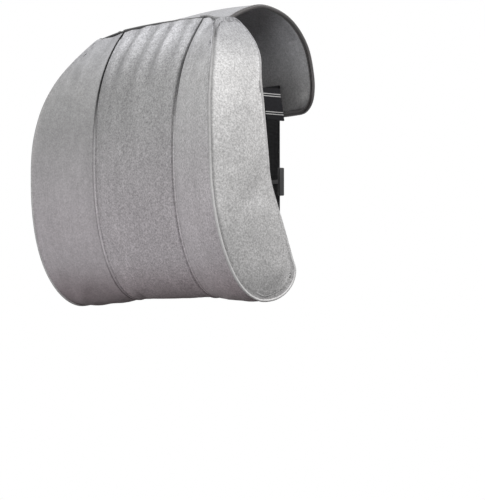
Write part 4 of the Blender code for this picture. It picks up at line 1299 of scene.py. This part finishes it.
# %% [markdown]
# Webbing is rebuilt from the middle line of its solid. The solid is an outline pushed out across X, so its
# side is one closed loop of points, there and back. Pairing the points across gives the middle line, and a
# grid wrapped round that line makes a band with soft edges and a UV map that runs along it.

# %% Webbing
WEB_THICKNESS = 1.6 * MM
WEB_ROUND, WEB_FLAT, WEB_STEPS = 9, 3, 3


def side_outline(node):
    """The outline of a band's side, as points in order in the YZ plane."""
    bm = solid_of(node)
    edge_x = max(v.co.x for v in bm.verts)
    side = [f for f in bm.faces if all(abs(v.co.x - edge_x) < MERGE for v in f.verts)]
    rest = [f for f in bm.faces if f not in side]
    bmesh.ops.delete(bm, geom=rest, context="FACES")
    loop = [v.co.copy() for v in border_loops(bm)[0]]
    bm.free()
    return loop, edge_x


def middle_line(node, thickness):
    """A band's middle line and half its width, from the way to pair its points with the most even gaps."""
    loop, edge_x = side_outline(node)
    count = len(loop)
    best = None
    for start in range(count):
        pairs = [(loop[(start + k) % count], loop[(start - 1 - k) % count]) for k in range(count // 2)]
        worst = max(abs((a - b).length - thickness) for a, b in pairs)
        if best is None or worst < best[0]:
            best = (worst, pairs)
    middle = [(a + b) / 2 for a, b in best[1]]
    return [Vector((0, p.y, p.z)) for p in middle], edge_x


def band_section(half_width, half_thick):
    """The closed outline of a band's cross-section, flat with round edges: (across, up) pairs."""
    points = []
    for side in (1, -1):
        for k in range(WEB_ROUND):
            turn = math.radians(90 - 180 * k / (WEB_ROUND - 1))
            points.append((side * (half_width - half_thick + half_thick * math.cos(turn)),
                           side * half_thick * math.sin(turn)))
        for k in range(1, 2 * WEB_FLAT):
            points.append((side * (half_width - half_thick) * (1 - k / WEB_FLAT), -side * half_thick))
    return points


def add_band(name, node):
    line, half_width = middle_line(node, WEB_THICKNESS)
    line = smooth_line(line, WEB_STEPS, False)
    section = band_section(half_width, 0.5 * WEB_THICKNESS)
    wide = len(section)
    bm = bmesh.new()
    bmesh.ops.create_grid(bm, x_segments=wide, y_segments=len(line) - 1, size=0.5)
    bm.verts.ensure_lookup_table()
    run = [0.0]
    for a, b in zip(line, line[1:]):
        run.append(run[-1] + (b - a).length)
    uv = bm.loops.layers.uv.new("run")
    for index, vert in enumerate(bm.verts):
        row, col = divmod(index, wide + 1)
        ahead = line[min(row + 1, len(line) - 1)] - line[max(row - 1, 0)]
        up = Vector((0, -ahead.z, ahead.y)).normalized()
        across, rise = section[col % wide]
        vert.co = line[row] + Vector((across, 0, 0)) + up * rise
        for loop in vert.link_loops:
            loop[uv].uv = (across, run[row])
    bmesh.ops.remove_doubles(bm, verts=bm.verts[:], dist=MERGE)
    bmesh.ops.holes_fill(bm, edges=[e for e in bm.edges if e.is_boundary], sides=wide)
    bmesh.ops.recalc_face_normals(bm, faces=bm.faces[:])
    add_piece(name, bm, "webbing", [node])
    print(name, "run", round(run[-1] / MM), "mm")


add_band("strap_web", "elastic_strap")
add_band("tab_web", "lower_tab")

# %% [markdown]
# Hard fittings keep their CAD form. Their copies only get small bevels, because no moulded or cast edge is
# truly sharp, and the thin bright line on a rounded edge is what makes a fitting look real. A bevel
# modifier would do the same, but here the flat faces are made whole first, so that it finds only the true
# edges. The zip's slider, its pull and the slide on the strap ride on bodies of their own, because they
# move.

# %% Fittings and zip
SHARP_FITTING = 30
BACKING_STEPS, BACKING_ROWS = 60, 4
BACKING_WIDTH, BACKING_LIFT = 6 * MM, 0.15 * MM


def crisp(name, node, finish, width, segments=2, body="pillow"):
    """A copy of a hard solid: flat faces whole again, edges bevelled."""
    bm = solid_of(node)
    bmesh.ops.dissolve_limit(bm, angle_limit=math.radians(1.5), verts=bm.verts[:], edges=bm.edges[:])
    bevel_corners(bm, SHARP_FITTING, width, segments)
    item = add_piece(name, bm, finish, [node], body)
    item.data.set_sharp_from_angle(angle=math.radians(40))


def add_zip_backing():
    """A strip of tape laid on the foam behind the zip, so that no foam shows between its two tapes."""
    low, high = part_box("zip_tape_upper")
    middle = sum(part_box("zip_stop_left"), Vector()) / 2
    bm = bmesh.new()
    bmesh.ops.create_grid(bm, x_segments=BACKING_STEPS, y_segments=BACKING_ROWS, size=0.5)
    for vert in bm.verts:
        x = low.x + (high.x - low.x) * (vert.co.x + 0.5)
        place, outward, _, _ = core.find_nearest(Vector((x, middle.y, middle.z + BACKING_WIDTH * vert.co.y)))
        vert.co = place + outward * BACKING_LIFT
    item = add_piece("zip_backing", bm, "zip_tape")
    thicken(item, BACKING_LIFT)


crisp("hook_plate", "strap_hook", "plastic", 0.35 * MM, 3)
crisp("slide_buckle", "strap_adjuster", "plastic", 0.25 * MM, 2, body="adjuster")
rounded("wire_ring", "tab_ring", "metal", 0.01 * MM, 1, 2, sharp=89)
crisp("slider_body", "zip_slider", "metal", 0.12 * MM, 2, body="slider")
crisp("pull_tab", "zip_pull", "metal", 0.2 * MM, 3, body="pull")
for part in ("upper", "lower"):
    crisp("teeth_" + part, "zip_teeth_" + part, "plastic", 0.2 * MM)
    crisp("tape_" + part, "zip_tape_" + part, "zip_tape", 0.15 * MM)
for part in ("left", "right"):
    crisp("stop_" + part, "zip_stop_" + part, "metal", 0.25 * MM)
add_zip_backing()
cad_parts["foam_core"].data.materials.clear()
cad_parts["foam_core"].data.materials.append(finishes["foam"])

# %% [markdown]
# The tag is a short length of satin ribbon, folded once and caught in the seam at the right end. Its light
# bars come from its finish.

# %% Tag
label = rounded("label_cloth", "side_tag", "label", 0.12 * MM, 2, 0)

# %% [markdown]
# Machine stitches are short and even. Each is a small stretched ball, laid half into the cloth along a
# line. All stitches of one row are one mesh, with few faces each, because there are hundreds of them. A
# dashed texture would be lighter, but it would lie flat and catch no light. One row holds the tape on the
# flap, a box with a cross holds the strap, and two rows hold the zip.

# %% Stitches
STITCH_AROUND, STITCH_ALONG = 6, 4
STITCH = {"length": 2.4 * MM, "radius": 0.32 * MM, "step": 3.3 * MM}


def spaced(line, step):
    """Even places along a line, each with the line's direction there."""
    places, due = [], 0.5 * step
    for a, b in zip(line, line[1:]):
        length = (b - a).length
        while due < length:
            places.append((a.lerp(b, due / length), (b - a).normalized()))
            due += step
        due -= length
    return places


def surface_of(node):
    bm = solid_of(node)
    tree = BVHTree.FromBMesh(bm)
    bm.free()
    return tree


def add_stitches(name, lines, surface, finish):
    """Rows of stitches along lines, laid on the nearest face of a surface."""
    bm = bmesh.new()
    thick, half = STITCH["radius"], 0.5 * STITCH["length"]
    count = 0
    for line in lines:
        for place, way in spaced(line, STITCH["step"]):
            spot, outward, _, _ = surface.find_nearest(place)
            run = (way - outward * way.dot(outward)).normalized()
            across = run.cross(outward)
            turn = Matrix((across * thick, run * half, outward * thick)).transposed().to_4x4()
            turn.translation = spot
            bmesh.ops.create_uvsphere(bm, u_segments=STITCH_AROUND, v_segments=STITCH_ALONG,
                                      radius=1, matrix=turn)
            count += 1
    print(name, "stitches:", count)
    add_piece(name, bm, finish)


def drawn_in(bm, distance):
    """The border of a sheet moved inward along its surface, as lines beside its border loops."""
    loops = border_loops(bm)
    border = {v for loop in loops for v in loop}
    bmesh.ops.inset_region(bm, faces=bm.faces[:], use_boundary=True, thickness=distance)
    lines = []
    for loop in loops:
        lines.append([next(e.other_vert(v) for e in v.link_edges if e.other_vert(v) not in border).co.copy()
                      for v in loop])
    return lines


def near_only(line, tree, reach):
    """The longest stretch of a closed line that stays within reach of a surface."""
    flags = [tree.find_nearest(p)[3] < reach for p in line]
    count = len(line)
    best = []
    for start in range(count):
        if flags[start] and not flags[start - 1]:
            run = []
            while len(run) < count and flags[(start + len(run)) % count]:
                run.append(line[(start + len(run)) % count])
            best = max(best, run, key=len)
    return best


BINDING_STITCH_IN, BINDING_REACH = 1.0 * MM, 2.2 * MM
flap_face = facing_away("top_flap", LOOP_MIDDLE, FLAP_FACING)
flap_line = max(drawn_in(flap_face, BINDING_STITCH_IN), key=len)
flap_face.free()
flap_surface = BVHTree.FromObject(flap, bpy.context.evaluated_depsgraph_get())
beside_tape = near_only(flap_line, surface_of("flap_binding"), BINDING_REACH)
add_stitches("binding_stitches", [beside_tape], flap_surface, "grey_thread")

# The box that holds the strap: half its width, its lower and upper side, and its place from front to back.
BOX_X, BOX_LOW, BOX_HIGH, BOX_Y = 10 * MM, 40 * MM, 57 * MM, 125 * MM
box = [Vector((x, BOX_Y, z)) for x, z in ((-BOX_X, BOX_LOW), (BOX_X, BOX_LOW), (BOX_X, BOX_HIGH),
                                          (-BOX_X, BOX_HIGH), (-BOX_X, BOX_LOW), (BOX_X, BOX_HIGH))]
cross = [box[1], box[3]]
add_stitches("box_stitches", [box, cross], flap_surface, "grey_thread")

ZIP_STITCH_IN, ZIP_REACH = 2.6 * MM, 4.5 * MM
for part in ("upper", "lower"):
    face = outer_face("back_panel_" + part)
    line = max(drawn_in(face, ZIP_STITCH_IN), key=len)
    face.free()
    beside_zip = near_only(line, surface_of("zip_tape_" + part), ZIP_REACH)
    add_stitches("zip_stitches_" + part, [beside_zip], surface_of("back_panel_" + part), "black_thread")
